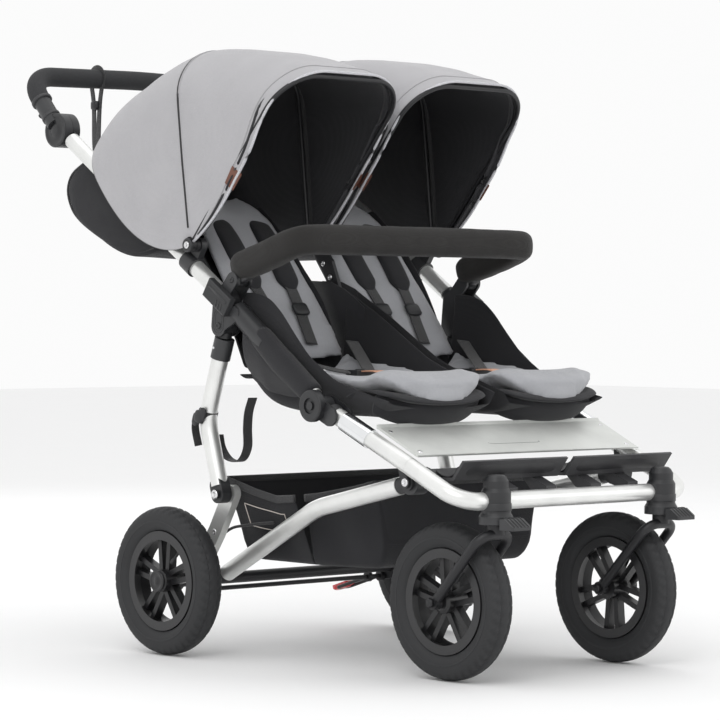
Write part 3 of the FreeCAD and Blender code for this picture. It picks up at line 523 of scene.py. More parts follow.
def area_light(name, location, target, size, power):
    """A round lamp that faces its target."""
    data = bpy.data.lights.new(name, "AREA")
    data.shape = "DISK"
    data.size = size
    data.energy = power
    made = bpy.data.objects.new(name, data)
    made.location = location
    aim = Vector(target) - Vector(location)
    made.rotation_euler = aim.to_track_quat("-Z", "Y").to_euler()
    bpy.context.scene.collection.objects.link(made)


def make_studio():
    """Four soft lamps, a white surround, and a floor just below the wheels."""
    area_light("KeyLight", (-3.2, -2.2, 3.2), (0, 0, 0.5), 2.6, 44)
    area_light("FillLight", (2.6, -3.6, 1.8), (0, 0, 0.5), 2.8, 14)
    area_light("TopLight", (0.2, 0.3, 3.6), (0, 0, 0.4), 3.0, 12)
    area_light("BackLight", (1.8, 3.4, 2.4), (0, 0, 0.6), 2.4, 14)
    world = bpy.data.worlds.new("Studio")
    world.use_nodes = True
    sky = world.node_tree.nodes["Background"]
    sky.inputs["Color"].default_value = (1, 1, 1, 1)
    sky.inputs["Strength"].default_value = 0.97
    bpy.context.scene.world = world
    half, low = 14.0, -0.0006
    corners = [(-half, -half, low), (half, -half, low), (half, half, low), (-half, half, low)]
    floor = new_mesh("floor", corners, [(0, 1, 2, 3)], "floor")


def floor_material():
    made, tree, surface, place = shader("pale_floor", (0.9, 0.9, 0.9), 0.85)
    speck = noise_node(tree, place, 6.0, 3.0)
    shades = ramp_node(tree, speck, (0.90, 0.90, 0.902), (0.906, 0.906, 0.906))
    tree.links.new(shades, surface.inputs["Base Color"])
    return made


M["floor"] = floor_material()
bpy.context.scene.view_settings.view_transform = "Standard"


# ---- carried-over CAD nodes ----------------------------------------------------------------


def paint_cad_nodes():
    """Each CAD node takes the material that has its slot's name."""
    slots = {s["node"]: s["material_slot"] for s in frame["record"]["subparts"]}
    for name, obj in NODES.items():
        material = M[slots[name]]
        if obj.data.materials:
            for i in range(len(obj.data.materials)):
                obj.data.materials[i] = material
        else:
            obj.data.materials.append(material)


# ---- wheels --------------------------------------------------------------------------------

TYRE_RADIUS = 125.0
TYRE_HALF_WIDTH = 23.5
TREAD_BLOCKS = 46
CASTER_X = 192.0
# Place, distance from the middle, and axle's y.
WHEELS = (("rear", 305.0, 146.0), ("front", CASTER_X, -420.0))


def tyre_outline():
    """(across, radius) points from bead to bead over the crown, with the zone each belongs to."""
    half, outer = TYRE_HALF_WIDTH, TYRE_RADIUS
    side = [(13.5, 84.6), (17.5, 88.0), (20.8, 93.0), (22.6, 98.5), (22.7, 99.4), (half - 0.2, 99.8),
            (half - 0.1, 101.8), (half - 0.7, 102.2), (half - 0.7, 107.0), (22.2, 112.0)]
    tread = [(21.3, 115.2), (20.0, 117.6), (17.6, 120.0), (15.0, 121.7), (11.4, 123.3), (9.4, 124.0),
             (7.0, 124.5), (3.4, outer - 0.1), (1.2, outer)]
    points = [(x, r, 0) for x, r in side] + [(x, r, 1) for x, r in tread]
    return points + [(-x, r, zone) for x, r, zone in reversed(points)]


def tread_depth(x, turn, zone):
    """How far a tread point sits below the crown: angled shoulder grooves and two zigzag ring grooves."""
    if not zone:
        return 0.0
    phase = (turn * TREAD_BLOCKS) % 1.0
    slant = (phase + abs(x) / 26.0 + (0.5 if x > 0 else 0.0)) % 1.0
    groove = 1.9 if abs(x) > 9.0 and slant < 0.2 else 0.0
    ring = 1.5 if 6.0 < abs(x) < 9.6 and (phase < 0.5) == (abs(x) > 8.0) else 0.0
    return max(groove, ring)


def make_tyre(place, word, side, track, axle_y):
    """Tyre with a cut tread, with five steps to each tread block."""
    outline, steps = tyre_outline(), 5 * TREAD_BLOCKS
    verts = []
    for i in range(steps):
        a = 2 * math.pi * i / steps
        for x, r, zone in outline:
            radius = r - tread_depth(x, i / steps, zone)
            y, z = axle_y + radius * math.cos(a), TYRE_RADIUS + radius * math.sin(a)
            verts.append(point(side * track + x, y, z))
    columns = len(outline)
    faces = grid_faces(steps, columns, loop=True, close=True)
    made = new_mesh(f"tyre_tread_{place}_{word}", verts, faces, "tyre_rubber")
    made.data.set_sharp_from_angle(angle=math.radians(38))
    return finish_piece(made, f"wheel_{place}_{word}", [f"tyre_{place}_{word}"])


def make_wheel_details(place, word, side, track, axle_y):
    """Hub cap of a rear wheel, and the valve stem."""
    body = f"wheel_{place}_{word}"
    if place == "rear":
        cap = [(18.5, 0.0), (18.5, 2.4), (17.2, 3.6), (14.5, 4.0), (13.6, 3.2), (6.5, 3.2), (5.6, 4.4),
               (0.5, 4.8)]
        hub_face = point(side * (track + 22), axle_y, TYRE_RADIUS)
        turned(f"hub_cap_{place}_{word}", cap, hub_face, (side, 0, 0), "rim_plastic", body)
    turn, reach = 2.2, 58
    valve_at = point(side * (track + 6), axle_y + reach * math.cos(turn),
                     TYRE_RADIUS + reach * math.sin(turn))
    inward = (point(side * track, axle_y, TYRE_RADIUS) - valve_at).normalized()
    stem = [(3.2, -12), (3.2, -2), (2.4, -1), (2.4, 10), (3.4, 11), (3.4, 19), (2.6, 20.5), (0.3, 20.5)]
    lip = (Vector((side * 0.35, 0, 0)) + inward).normalized()
    turned(f"valve_{place}_{word}", stem, valve_at, lip, "tyre_rubber", body, 16)


def make_wheels():
    for place, track, axle_y in WHEELS:
        for word, side in SIDES:
            make_tyre(place, word, side, track, axle_y)
            make_wheel_details(place, word, side, track, axle_y)


# ---- hoods ---------------------------------------------------------------------------------

# Crown distance from the hood's pivot line at each angle above level, front rim to rear edge.
HOOD_CROWN = ((131.0, 374.0), (119.0, 350.0), (107.0, 338.0), (95.0, 334.0), (83.5, 336.0), (70.0, 334.0),
              (58.0, 338.0), (44.0, 358.0), (31.0, 372.0))
HOOD_OUTER, HOOD_INNER, HOOD_CORNER, HOOD_FOOT = 295.0, 6.0, 92.0, 12.0
# Angles above level of the front rim and the middle bow, and the whole turn to the rear edge.
HOOD_RIM_ANGLE, HOOD_BOW_ANGLE, HOOD_SPREAD = 131.0, 83.5, 100.0
# How far the front rim leans ahead of its bow, in degrees, against the fraction of the way up.
RIM_LEAN = ((0.0, 20.0), (0.08, 17.0), (0.25, 12.0), (0.4, 7.5), (0.56, 5.0), (0.69, 2.0),
            (0.85, 0.5), (1.0, 0.0))
INNER_LEAN_SHARE = 0.45


def hood_reach(angle):
    return along_table(HOOD_CROWN[::-1], angle)


def hood_side_angle(base, fraction, along, lean_share):
    """Side panels lean forward at the front rim and run along the upper tube at the rear edge."""
    rim_lean = along_table(RIM_LEAN, fraction)
    front_lean = lean_share * rim_lean * (1 - along) ** 3
    rear_drop = -48.0 * along ** 5 * (1 - fraction) ** 1.4
    return base + front_lean + rear_drop


def hood_point(along, across):
    """A point on the left hood: along 0 front rim to 1 rear edge, across 0 inner foot to 1 outer foot."""
    base = HOOD_RIM_ANGLE - HOOD_SPREAD * along
    reach = hood_reach(base)
    foot, corner = HOOD_FOOT, HOOD_CORNER
    straight, top = reach - corner - foot, HOOD_OUTER - HOOD_INNER - 2 * corner
    arc = corner * math.pi / 2
    total = 2 * straight + 2 * arc + top
    run = across * total
    outer_half = run > total / 2
    run = min(run, total - run)
    if run < straight:
        distance, inset = foot + run, 0.0
    elif run < straight + arc:
        turn = (run - straight) / corner
        distance, inset = reach - corner + corner * math.sin(turn), corner * (1 - math.cos(turn))
    else:
        distance, inset = reach, corner + (run - straight - arc)
    fraction = min(1.0, (distance - foot) / (reach - foot))
    middle = (HOOD_OUTER + HOOD_INNER) / 2
    half = (HOOD_OUTER - HOOD_INNER) / 2
    swell = 4.0 * math.sin(math.pi * fraction) * math.sin(math.pi * min(1.0, max(0.0, along)))
    x = middle + (half - inset - 4.0 + swell) * (1 if outer_half else -1)
    lean_share = 1.0 if outer_half else INNER_LEAN_SHARE
    angle = math.radians(hood_side_angle(base, fraction, along, lean_share))
    return x, HOOD_PIVOT[0] + distance * math.cos(angle), HOOD_PIVOT[1] + distance * math.sin(angle)


def hood_spot(along, across, side, lift_mm=0.0):
    """hood_point on either side, lifted off the cloth along its outward direction."""
    p = point(*hood_point(along, across))
    if lift_mm:
        a, b = (point(*hood_point(v, across)) for v in (min(1, along + 0.01), max(0, along - 0.01)))
        c, d = (point(*hood_point(along, v)) for v in (min(1, across + 0.01), max(0, across - 0.01)))
        p = p + (c - d).cross(a - b).normalized() * lift_mm / 1000
    return Vector((p.x * side, p.y, p.z))


def hood_blend(obj):
    """Bakes a hood piece's placement into its mesh."""
    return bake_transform(obj)


def make_hood(word, side):
    """One hood: its sheet, rim, seams, tapes and leather tabs."""
    rows = [[hood_spot(i / 40, j / 64, side) for j in range(65)] for i in range(41)]
    cover = grid_mesh(f"hood_cover_{word}", rows, "hood_grey")
    centre = point(150.0 * side, HOOD_PIVOT[0], HOOD_PIVOT[1] + 150)
    normal_out = cover.data.polygons[len(cover.data.polygons) // 2]
    if (normal_out.center - centre).dot(normal_out.normal) < 0:
        cover.data.flip_normals()
    hood_blend(cover)
    thicken(cover, 1.6, "lining")
    subdivide(cover)
    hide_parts(f"hood_fabric_{word}")
    for label, along, margin, radius, material, slot, lift, flat in (
            ("rim", 0.004, 0.0, 2.3, "piping", "hood_grey", 0.0, 1.0),
            ("seam", 0.475, 0.03, 1.0, "hood_grey", "hood_grey", 0.3, 1.0),
            ("stitch", 0.05, 0.03, 0.6, "hood_grey", "hood_grey", 0.4, 1.0),
            ("bow_tape", 0.475, 0.02, 6.5, "black_webbing", "black_webbing", -3.6, 0.3),
            ("hem", 0.03, 0.02, 7.5, "lining", "black_fabric", -3.4, 0.28)):
        path = [hood_spot(along, u, side, lift) for u in np.linspace(margin, 1.0 - margin, 70)]
        section = round_section(radius, 8, flat)
        line = sweep(f"hood_{label}_{word}", path, section, material, Vector((0.0, -0.6, 0.8)))
        hood_blend(line)
    for label, at in (("inner", 0.157), ("outer", 0.843)):
        tab = [hood_spot(v, at + du, side, lift) for v, du, lift in
               ((-0.012, -0.018, 1.6), (-0.012, 0.018, 1.6), (0.055, 0.018, 1.4), (0.055, -0.018, 1.4))]
        patch = new_mesh(f"hood_tab_{label}_{word}", tab, [(0, 1, 2, 3)], "leather_tab", False)
        hood_blend(patch)
        thicken(patch, 1.2, offset=0.0)
    return cover


def make_hoods():
    for word, side in SIDES:
        cover = make_hood(word, side)


# ---- seats ---------------------------------------------------------------------------------


def pad_mesh(name, rows, thickness, material):
    """Closed cushion over a grid of surface points: crowned in the middle, pinched at its edge."""
    count, columns = len(rows), len(rows[0])
    top, bottom = [], []
    for i, row in enumerate(rows):
        for j, p in enumerate(row):
            a, b = rows[min(i + 1, count - 1)][j], rows[max(i - 1, 0)][j]
            c, d = row[min(j + 1, columns - 1)], row[max(j - 1, 0)]
            out = (a - b).cross(c - d).normalized()
            u, v = i / (count - 1), j / (columns - 1)
            edge = min(1.0, 9 * u * (1 - u)) ** 0.5 * min(1.0, 7 * v * (1 - v)) ** 0.5
            half = thickness / 2000 * (0.12 + 0.88 * edge)
            top.append(p + out * half)
            bottom.append(p - out * half)
    base = count * columns
    faces = grid_faces(count, columns)
    faces += [tuple(base + k for k in reversed(f)) for f in grid_faces(count, columns)]
    ring = [i * columns for i in range(count)] + [(count - 1) * columns + j for j in range(1, columns)]
    ring += [i * columns + columns - 1 for i in range(count - 2, -1, -1)] + list(range(columns - 2, 0, -1))
    for a, b in zip(ring, ring[1:] + ring[:1]):
        faces.append((b, a, base + a, base + b))
    return new_mesh(name, top + bottom, faces, material)


# The way a reclined backrest faces.
BACK_OUT = Vector((0, -0.79, 0.61))
# Middle lines in the side view: seat liner from lip to crease, back liner from crease to top,
# hammock from front to rear, and the cloth behind the crease.
SEAT_LINE = [(-352, 452), (-338, 466), (-300, 468), (-240, 456), (-150, 446), (-60, 456), (-8, 476)]
BACK_LINE = [(14, 492), (40, 524), (78, 576), (118, 628), (160, 682), (200, 734), (228, 770)]
SHELL_LINE = [(-338, 432), (-300, 416), (-200, 416), (-90, 418), (-20, 432), (22, 470)]
CREASE_LINE = [(12, 461), (26, 469), (42, 468), (58, 474)]


def line_spot(line, count, fraction):
    """A place at a fraction of the way along a smooth line."""
    pts = curve_through([Vector((0, y, z)) for y, z in line], count)
    at = fraction * (count - 1)
    i = min(count - 2, int(at))
    return pts[i].lerp(pts[i + 1], at - i)


def liner_rows(line, half_width, rise, rows=30, columns=22):
    """Surface grid; half_width(u) in mm and rise(u, s) in mm, with s from -1 to 1 across."""
    out = []
    for i in range(rows):
        u = i / (rows - 1)
        mid = line_spot(line, 60, u)
        row = []
        for j in range(columns):
            s = 2 * j / (columns - 1) - 1
            dy, dz = rise(u, s)
            row.append(point(SEAT_MIDDLE + s * half_width(u), mid.y + dy, mid.z + dz))
        out.append(row)
    return out


def seat_liner():
    """Grey cushion of the seat: full rounded lip in front, narrower towards the crease."""
    def half_width(u):
        return float(np.interp(u, [0, 0.05, 0.12, 0.3, 0.5, 0.75, 1.0], [92, 110, 115, 113, 108, 98, 88]))

    def rise(u, s):
        lip = max(0.0, 1 - u / 0.25)
        edge = float(np.interp(u, [0, 0.1, 0.25, 0.42, 0.6, 0.75, 1], [0, 2, 8, 26, 44, 46, 38]))
        return 26 * lip * abs(s) ** 2.2, 16 * abs(s) ** 2.5 * lip + edge * abs(s) ** 4

    pad = pad_mesh("seat_liner_left", liner_rows(SEAT_LINE, half_width, rise, 34, 24), 27.0, "liner_grey")
    lip_edge = point(0, -346, 466)
    for v in pad.data.vertices:
        ahead = min(1.0, max(0.0, (-0.318 - v.co.y) / 0.03))
        across = abs(v.co.x - SEAT_MIDDLE / 1000) / 0.114
        if v.co.z < lip_edge.z + 0.016 * across ** 2.5:
            v.co.z -= 0.017 * ahead * max(0.0, 1 - across ** 2)
    return puff(pad)


def back_liner():
    """Grey cushion of the back: waisted at the hips, wide at the shoulders, round top."""
    def half_width(u):
        return float(np.interp(u, [0, 0.15, 0.3, 0.5, 0.7, 0.84, 0.93, 0.98, 1.0],
                               [98, 104, 101, 96, 91, 84, 66, 42, 28]))

    def rise(u, s):
        return -7.1 - 9 * abs(s) ** 2, 5.5 + 7 * abs(s) ** 2

    pad = pad_mesh("back_liner_left", liner_rows(BACK_LINE, half_width, rise, 38, 22), 25.0, "liner_grey")
    return puff(pad)


def make_liners():
    """The grey liners; the right ones are copies of the left, so that both swell alike."""
    seat, back = seat_liner(), back_liner()
    for word, side in SIDES:
        cushion = seat if side > 0 else mirror_copy(seat, "seat_liner_right")
        rest = back if side > 0 else mirror_copy(back, "back_liner_right")
        finish_piece(cushion, "seat_frame", [f"seat_pan_{word}"])
        finish_piece(rest, f"backrest_{word}", [f"backrest_{word}"])


def lip_outline(x, drop):
    """The black lower cushion follows the grey lip, drop mm below it."""
    s = (x - SEAT_MIDDLE) / 118.0
    corner = 24 * max(0.0, (abs(s) - 0.8) / 0.2) ** 2.5
    return -356 + 24 * abs(s) ** 2.2 + corner, 441 - drop + 16 * abs(s) ** 2.5


def make_lip_pad(word, side):
    """Thin black pad under the grey lip, and the rounded flap that hangs below it."""
    pad_rows, flap_rows = [], []
    for u in np.linspace(0, 1, 12):
        pad_row, flap_row = [], []
        for s in np.linspace(-1, 1, 26):
            x = SEAT_MIDDLE + s * 117
            y, z = lip_outline(x, 8)
            pad_row.append(point(x, y + 78 * u, z + 10 * math.sin(math.pi * u) - 6 * u))
            x = SEAT_MIDDLE + s * (114 - 12 * u ** 3)
            y, z = lip_outline(x, 6)
            hang = (36 - 6 * abs(s) ** 3) * math.sin(u * math.pi / 2)
            flap_row.append(point(x, y + 16 + 34 * u ** 1.5, z - hang))
        pad_rows.append(pad_row)
        flap_rows.append(flap_row)
    pad = subdivide(pad_mesh(f"lip_pad_{word}", pad_rows, 12.0, "black_fabric"))
    flap = subdivide(pad_mesh(f"lip_flap_{word}", flap_rows, 9.0, "black_fabric"))
    for piece in (pad, flap):
        to_side(piece, side)
        finish_piece(piece, "seat_frame")


# Height of the hammock's two side wings along the seat.
OUTER_WING = ((-338, 438), (-300, 446), (-208, 470), (-147, 508), (-110, 545), (-80, 578),
              (-50, 602), (-13, 612))
INNER_WING = ((-338, 450), (-300, 462), (-240, 480), (-181, 503), (-63, 574), (22, 618))


def shell_spot(u, v):
    """Black hammock under the liner: u from front to rear, v across from inner edge to frame tube."""
    mid = line_spot(SHELL_LINE, 60, u)
    outer_top, inner_top = along_table(OUTER_WING, mid.y), along_table(INNER_WING, mid.y)
    if v < 0.3:
        t = (0.3 - v) / 0.3
        x, z = 24 - 13 * t, mid.z + (inner_top - mid.z) * t ** 1.3
    elif v > 0.68:
        t = (v - 0.68) / 0.32
        x, z = 226 + 22 * math.sin(t * math.pi / 2), mid.z + (outer_top - mid.z) * t ** 1.2
    else:
        t = (v - 0.3) / 0.38
        x, z = 24 + 202 * t, mid.z - 7 * math.sin(math.pi * t)
    return point(x, mid.y, z)


def make_shell(word, side):
    """The black hammock that the liner lies in."""
    rows = [[shell_spot(u, v) for v in np.linspace(0, 1, 44)] for u in np.linspace(0, 1, 30)]
    shell = grid_mesh(f"seat_shell_{word}", rows, "black_fabric")
    relax(shell, 4)
    thicken(shell, 2.2, offset=0.0)
    subdivide(shell)
    to_side(shell, side)
    return finish_piece(shell, "seat_frame")


def make_crease_cloth(word, side):
    """Closes the hammock behind the crease, in a curve that stays clear of the recline pivot."""
    line = curve_through([Vector((0, y, z)) for y, z in CREASE_LINE], 14)
    rows = [[point(x, spot.y, spot.z) for x in np.linspace(26, 224, 20)] for spot in line]
    cloth = grid_mesh(f"seat_crease_{word}", rows, "black_fabric")
    thicken(cloth, 2.2, offset=0.0)
    subdivide(cloth)
    to_side(cloth, side)
    return finish_piece(cloth, "seat_frame")


def relax(obj, times, factor=0.5):
    """Smooths a mesh's points a few times, keeping its border."""
    work = bmesh.new()
    work.from_mesh(obj.data)
    for _ in range(times):
        inner = [v for v in work.verts if not v.is_boundary]
        bmesh.ops.smooth_vert(work, verts=inner, factor=factor,
                              use_axis_x=True, use_axis_y=True, use_axis_z=True)
    work.to_mesh(obj.data)
    work.free()


def make_side_sleeve(word, side):
    """Black cloth sewn round the seat tube, from the front knuckle up to the fold bracket."""
    start, end = side_point(SIDE_PLANE * side, KNOB_PIVOT), side_point(SIDE_PLANE * side, FOLD_PIVOT)
    path = [start.lerp(end, t) for t in np.linspace(0.09, 0.665, 18)]

    def section(run):
        pull = 1.0 + 0.10 * math.sin(math.pi * run)
        sag = 0.002 * math.sin(math.pi * run)
        return [(a * pull, b * pull - sag) for a, b in soft_box(33.0, 38.0, 2.4, 24)]

    sleeve = sweep(f"tube_sleeve_{word}", path, section, "black_fabric")
    crumple(sleeve, 1.0, 26.0)
    return finish_piece(subdivide(sleeve), "seat_frame")


def crumple(obj, depth_mm, scale):
    """Soft creases: moves points along their normals by smooth noise."""
    for v in obj.data.vertices:
        shift = noise.noise(v.co * scale)
        v.co += v.normal * shift * depth_mm / 1000


def wing_spot(u, v):
    """Outer side panel: from the frame tube down and in to the hammock's belly."""
    start, end = KNOB_PIVOT, FOLD_PIVOT
    y = start[0] + (end[0] - start[0]) * (0.16 + 0.62 * u)
    z = start[1] + (end[1] - start[1]) * (0.16 + 0.62 * u)
    belly_z = float(np.interp(u, [0, 0.35, 0.7, 1.0], [440, 438, 447, 480]))
    x = 279 - 34 * v ** 2
    return point(x, y + 26 * v * u, z + (belly_z - z) * v ** 0.9)


def make_gusset(word, side):
    """Black web between the centre wing and the backrest."""
    outline = [(-30, 480), (-24, 588), (0, 604), (28, 620), (62, 632), (112, 634), (96, 600), (72, 556),
               (44, 504), (18, 476)]
    verts = [point(13.0, y, z) for y, z in outline] + [point(13.0, 26, 560)]
    count = len(outline)
    faces = [(i, (i + 1) % count, count) for i in range(count)]
    gusset = new_mesh(f"seat_gusset_{word}", verts, faces, "black_fabric")
    thicken(gusset, 2.0, offset=0.0)
    to_side(gusset, side)
    return finish_piece(gusset, "seat_frame")


def make_side_panel(word, side):
    """Creased black cloth between the frame tube and the hammock."""
    rows = [[wing_spot(u, v) for v in np.linspace(0, 1, 16)] for u in np.linspace(0, 1, 26)]
    panel = grid_mesh(f"side_panel_{word}", rows, "black_fabric")
    crumple(panel, 2.2, 14.0)
    thicken(panel, 2.0)
    subdivide(panel)
    to_side(panel, side)
    return finish_piece(panel, "seat_frame")


def back_shell_spot(u, v):
    """Black back panel behind the liner, with its side wings brought forward."""
    s = 2 * v - 1
    mid = line_spot(BACK_LINE, 60, min(1.0, u * 0.985))
    inner_half = float(np.interp(u, [0, 0.35, 0.55], [116, 116, 103]))
    half = (110.0 if s > 0 else inner_half) - 6.0 * u ** 6
    wing = max(0.0, abs(s) - 0.8) / 0.2
    back = BACK_OUT * -15
    reach = 36 * wing ** 1.5 * math.sin(math.pi * min(1.0, 0.15 + 0.8 * (1 - u)))
    forward = BACK_OUT * reach
    x = SEAT_MIDDLE + s * half
    return point(x, mid.y + back.y + forward.y, mid.z + back.z + forward.z)


def make_back_shell(word, side):
    """Black back panel with its wings, which reclines with the liner."""
    rows = [[back_shell_spot(u, v) for v in np.linspace(0, 1, 34)] for u in np.linspace(0, 1, 26)]
    shell = grid_mesh(f"back_shell_{word}", rows, "black_fabric")
    thicken(shell, 3.0, offset=0.0)
    subdivide(shell)
    to_side(shell, side)
    return finish_piece(shell, f"backrest_{word}")


# ---- harness -------------------------------------------------------------------------------


def back_spot(offset, fraction, lift):
    """A spot in front of the back liner: offset from its middle line, lift off its surface."""
    mid = line_spot(BACK_LINE, 60, fraction)
    return point(SEAT_MIDDLE + offset, mid.y - 0.79 * lift, mid.z + 0.61 * lift)


def make_harness(word, side):
    """Shoulder pads and straps with their sliders, and the lap and crotch straps."""
    pieces = []
    for label, across in (("inner", -1), ("outer", 1)):
        pad_path = curve_through([back_spot(across * 44, 0.86, 19), back_spot(across * 44, 0.70, 28),
                                  back_spot(across * 43, 0.52, 29), back_spot(across * 40, 0.38, 28)], 26)

        def section(run):
            ends = min(1.0, 6 * run * (1 - run) + 0.35)
            return soft_box(46.0 * ends, 15.0 * ends, 3.2, 20)

        pad = sweep(f"shoulder_pad_{label}_{word}", pad_path, section, "black_fabric", BACK_OUT)
        subdivide(pad)
        pieces.append((pad, f"backrest_{word}", "black_fabric", True))
        tape = strap(f"shoulder_strap_{label}_{word}",
                     [back_spot(across * 40, 0.40, 30), back_spot(across * 36, 0.28, 30),
                      back_spot(across * 32, 0.18, 29), back_spot(across * 27, 0.06, 28)], 25.0, 2.0,
                     "black_webbing", BACK_OUT)
        pieces.append((tape, f"backrest_{word}", "black_webbing", False))
        slider = sweep(f"strap_slider_{label}_{word}",
                       [back_spot(across * 36, f, 31.5) for f in (0.30, 0.275, 0.25, 0.225)],
                       soft_box(33.0, 8.0, 5.0, 16), "black_plastic", BACK_OUT)
        pieces.append((subdivide(slider), f"backrest_{word}", "black_plastic", False))
    for label, across in (("inner", -1), ("outer", 1)):
        route = [point(SEAT_MIDDLE + across * x, y, z)
                 for x, y, z in ((96, -20, 530), (70, -76, 499), (40, -120, 485), (20, -144, 480))]
        lap = strap(f"lap_strap_{label}_{word}", route, 24.0, 2.0, "black_webbing", Vector((0, -0.3, 1)), 40)
        pieces.append((lap, "seat_frame", "black_webbing", False))
    route = [point(SEAT_MIDDLE, y, z) for y, z in ((-160, 482), (-184, 483), (-206, 480), (-222, 472))]
    crotch = strap(f"crotch_strap_{word}", route, 30.0, 2.4, "copper_tape", Vector((0, 0, 1)), 24)
    pieces.append((crotch, "seat_frame", "black_webbing", False))
    for piece, body, slot, soft in pieces:
        to_side(piece, side)
        finish_piece(piece, body)


def make_seats():
    make_liners()
    for word, side in SIDES:
        make_lip_pad(word, side)
        make_shell(word, side)
        make_crease_cloth(word, side)
        make_side_sleeve(word, side)
        make_side_panel(word, side)
        make_gusset(word, side)
        make_back_shell(word, side)
        make_harness(word, side)


# ---- bumper bar ----------------------------------------------------------------------------


def make_bumper():
    """Padded bar in a woven zip-on cover, with a seam along its back and creases at the corners."""
    corner_y, corner_z = -141.0, 698.0
    arm = [(262.0, 18.0, 651.0), (264.0, -50.0, 669.0), (264.0, -100.0, 684.5), (259.0, -127.0, 693.5),
           (240.0, corner_y, corner_z), (130.0, corner_y, corner_z + 1), (0.0, corner_y, corner_z + 1)]
    half = [point(*p) for p in arm]
    path = curve_through(half + [Vector((-p.x, p.y, p.z)) for p in reversed(half[:-1])], 120)

    def section(run):
        near_corner = math.exp(-((abs(run - 0.5) - 0.335) / 0.03) ** 2)
        pull = 1.0 - 0.05 * near_corner
        end = min(1.0, 0.72 + 14 * min(run, 1 - run))
        return [(a * pull * end, b * end) for a, b in soft_box(46.0, 49.0, 2.7, 32)]

    cover = sweep("bumper_cover", path, section, "bar_cover")
    crumple(cover, 0.9, 40.0)
    subdivide(cover)
    tongues = []
    for _, side in SIDES:
        ends = [side_point(SIDE_PLANE * side, BUMPER_PIVOT), point(265.0 * side, -14, 643)]
        plate = sweep("bumper_tongue", ends, soft_box(20.0, 20.0, 4.0, 16), "black_plastic")
        tongues.append(plate)
    eye = [lathe("bumper_eye", [(10.8, -10.8), (10.8, 10.8)], side_point(SIDE_PLANE * side, BUMPER_PIVOT),
                 (1, 0, 0), "black_plastic", 32) for _, side in SIDES]
    fittings = join("bumper_ends", tongues + eye)
    finish_piece(cover, "bumper", ["bumper_bar"])
    finish_piece(fittings, "bumper")
    path_low = [p + Vector((0, 0, -0.0242)) for p in path[20:-20]]
    swept("bumper_seam", path_low, round_section(1.3, 8), "black_webbing", "bumper")


# ---- basket and pouch ----------------------------------------------------------------------

# Basket rim and floor heights, front to rear, in the side view.
BASKET_RIM = [(-250, 302), (-200, 290), (-124, 276), (-82, 271), (-40, 268), (10, 278), (76, 296)]
BASKET_FLOOR = [(-248, 196), (-238, 172), (-222, 161), (-120, 159), (60, 159), (76, 166), (84, 186)]
BASKET_SPLIT = -88.0
# Front and rear end of each half.
BASKET_ENDS = {"rear": (BASKET_SPLIT, 82.0), "front": (-247.0, BASKET_SPLIT - 0.6)}


def basket_half_width(y, z):
    """The rear half flares out to the legs; the front half stays upright and narrows forward."""
    if y > BASKET_SPLIT - 0.3:
        return 182.5 + 0.39 * (z - 160)
    return 182.5 + 0.2 * (z - 160) - 0.11 * (BASKET_SPLIT - y)


def basket_spot(y, v):
    """v from 0 at the right rim, under the floor, to 1 at the left rim."""
    rim, floor = along_table(BASKET_RIM, y), along_table(BASKET_FLOOR, y)
    s = 2 * v - 1
    climb = max(0.0, (abs(s) - 0.62) / 0.38)
    z = floor + (rim - floor) * climb
    across = min(1.0, abs(s) / 0.62)
    half = basket_half_width(y, z)
    fold = -2.2 * (1 + math.sin(y * 0.055 + 4 * s)) * math.sin(math.pi * climb)
    return point(math.copysign(half * across + fold, s), y, z)


def basket_half(part, rows, close_end):
    """Cloth of one half, with an end wall on its first or last row."""
    columns = 56
    grid = [[basket_spot(y, v) for v in np.linspace(0, 1, columns)]
            for y in np.linspace(*BASKET_ENDS[part], rows)]
    verts = [p for row in grid for p in row]
    faces = grid_faces(rows, columns)
    row = grid[close_end]
    top = [row[0].lerp(row[-1], j / (columns - 1)) for j in range(columns)]
    below = (rows - 1) * columns if close_end else 0
    steps = 6
    for k in range(1, steps + 1):
        above = len(verts)
        verts += [p.lerp(q, k / steps) for p, q in zip(row, top)]
        faces += [(below + j, below + j + 1, above + j + 1, above + j) for j in range(columns - 1)]
        below = above
    made = new_mesh(f"basket_{part}_cloth", verts, faces, "black_fabric")
    work = bmesh.new()
    work.from_mesh(made.data)
    bmesh.ops.remove_doubles(work, verts=work.verts, dist=0.0004)
    work.to_mesh(made.data)
    work.free()
    return made


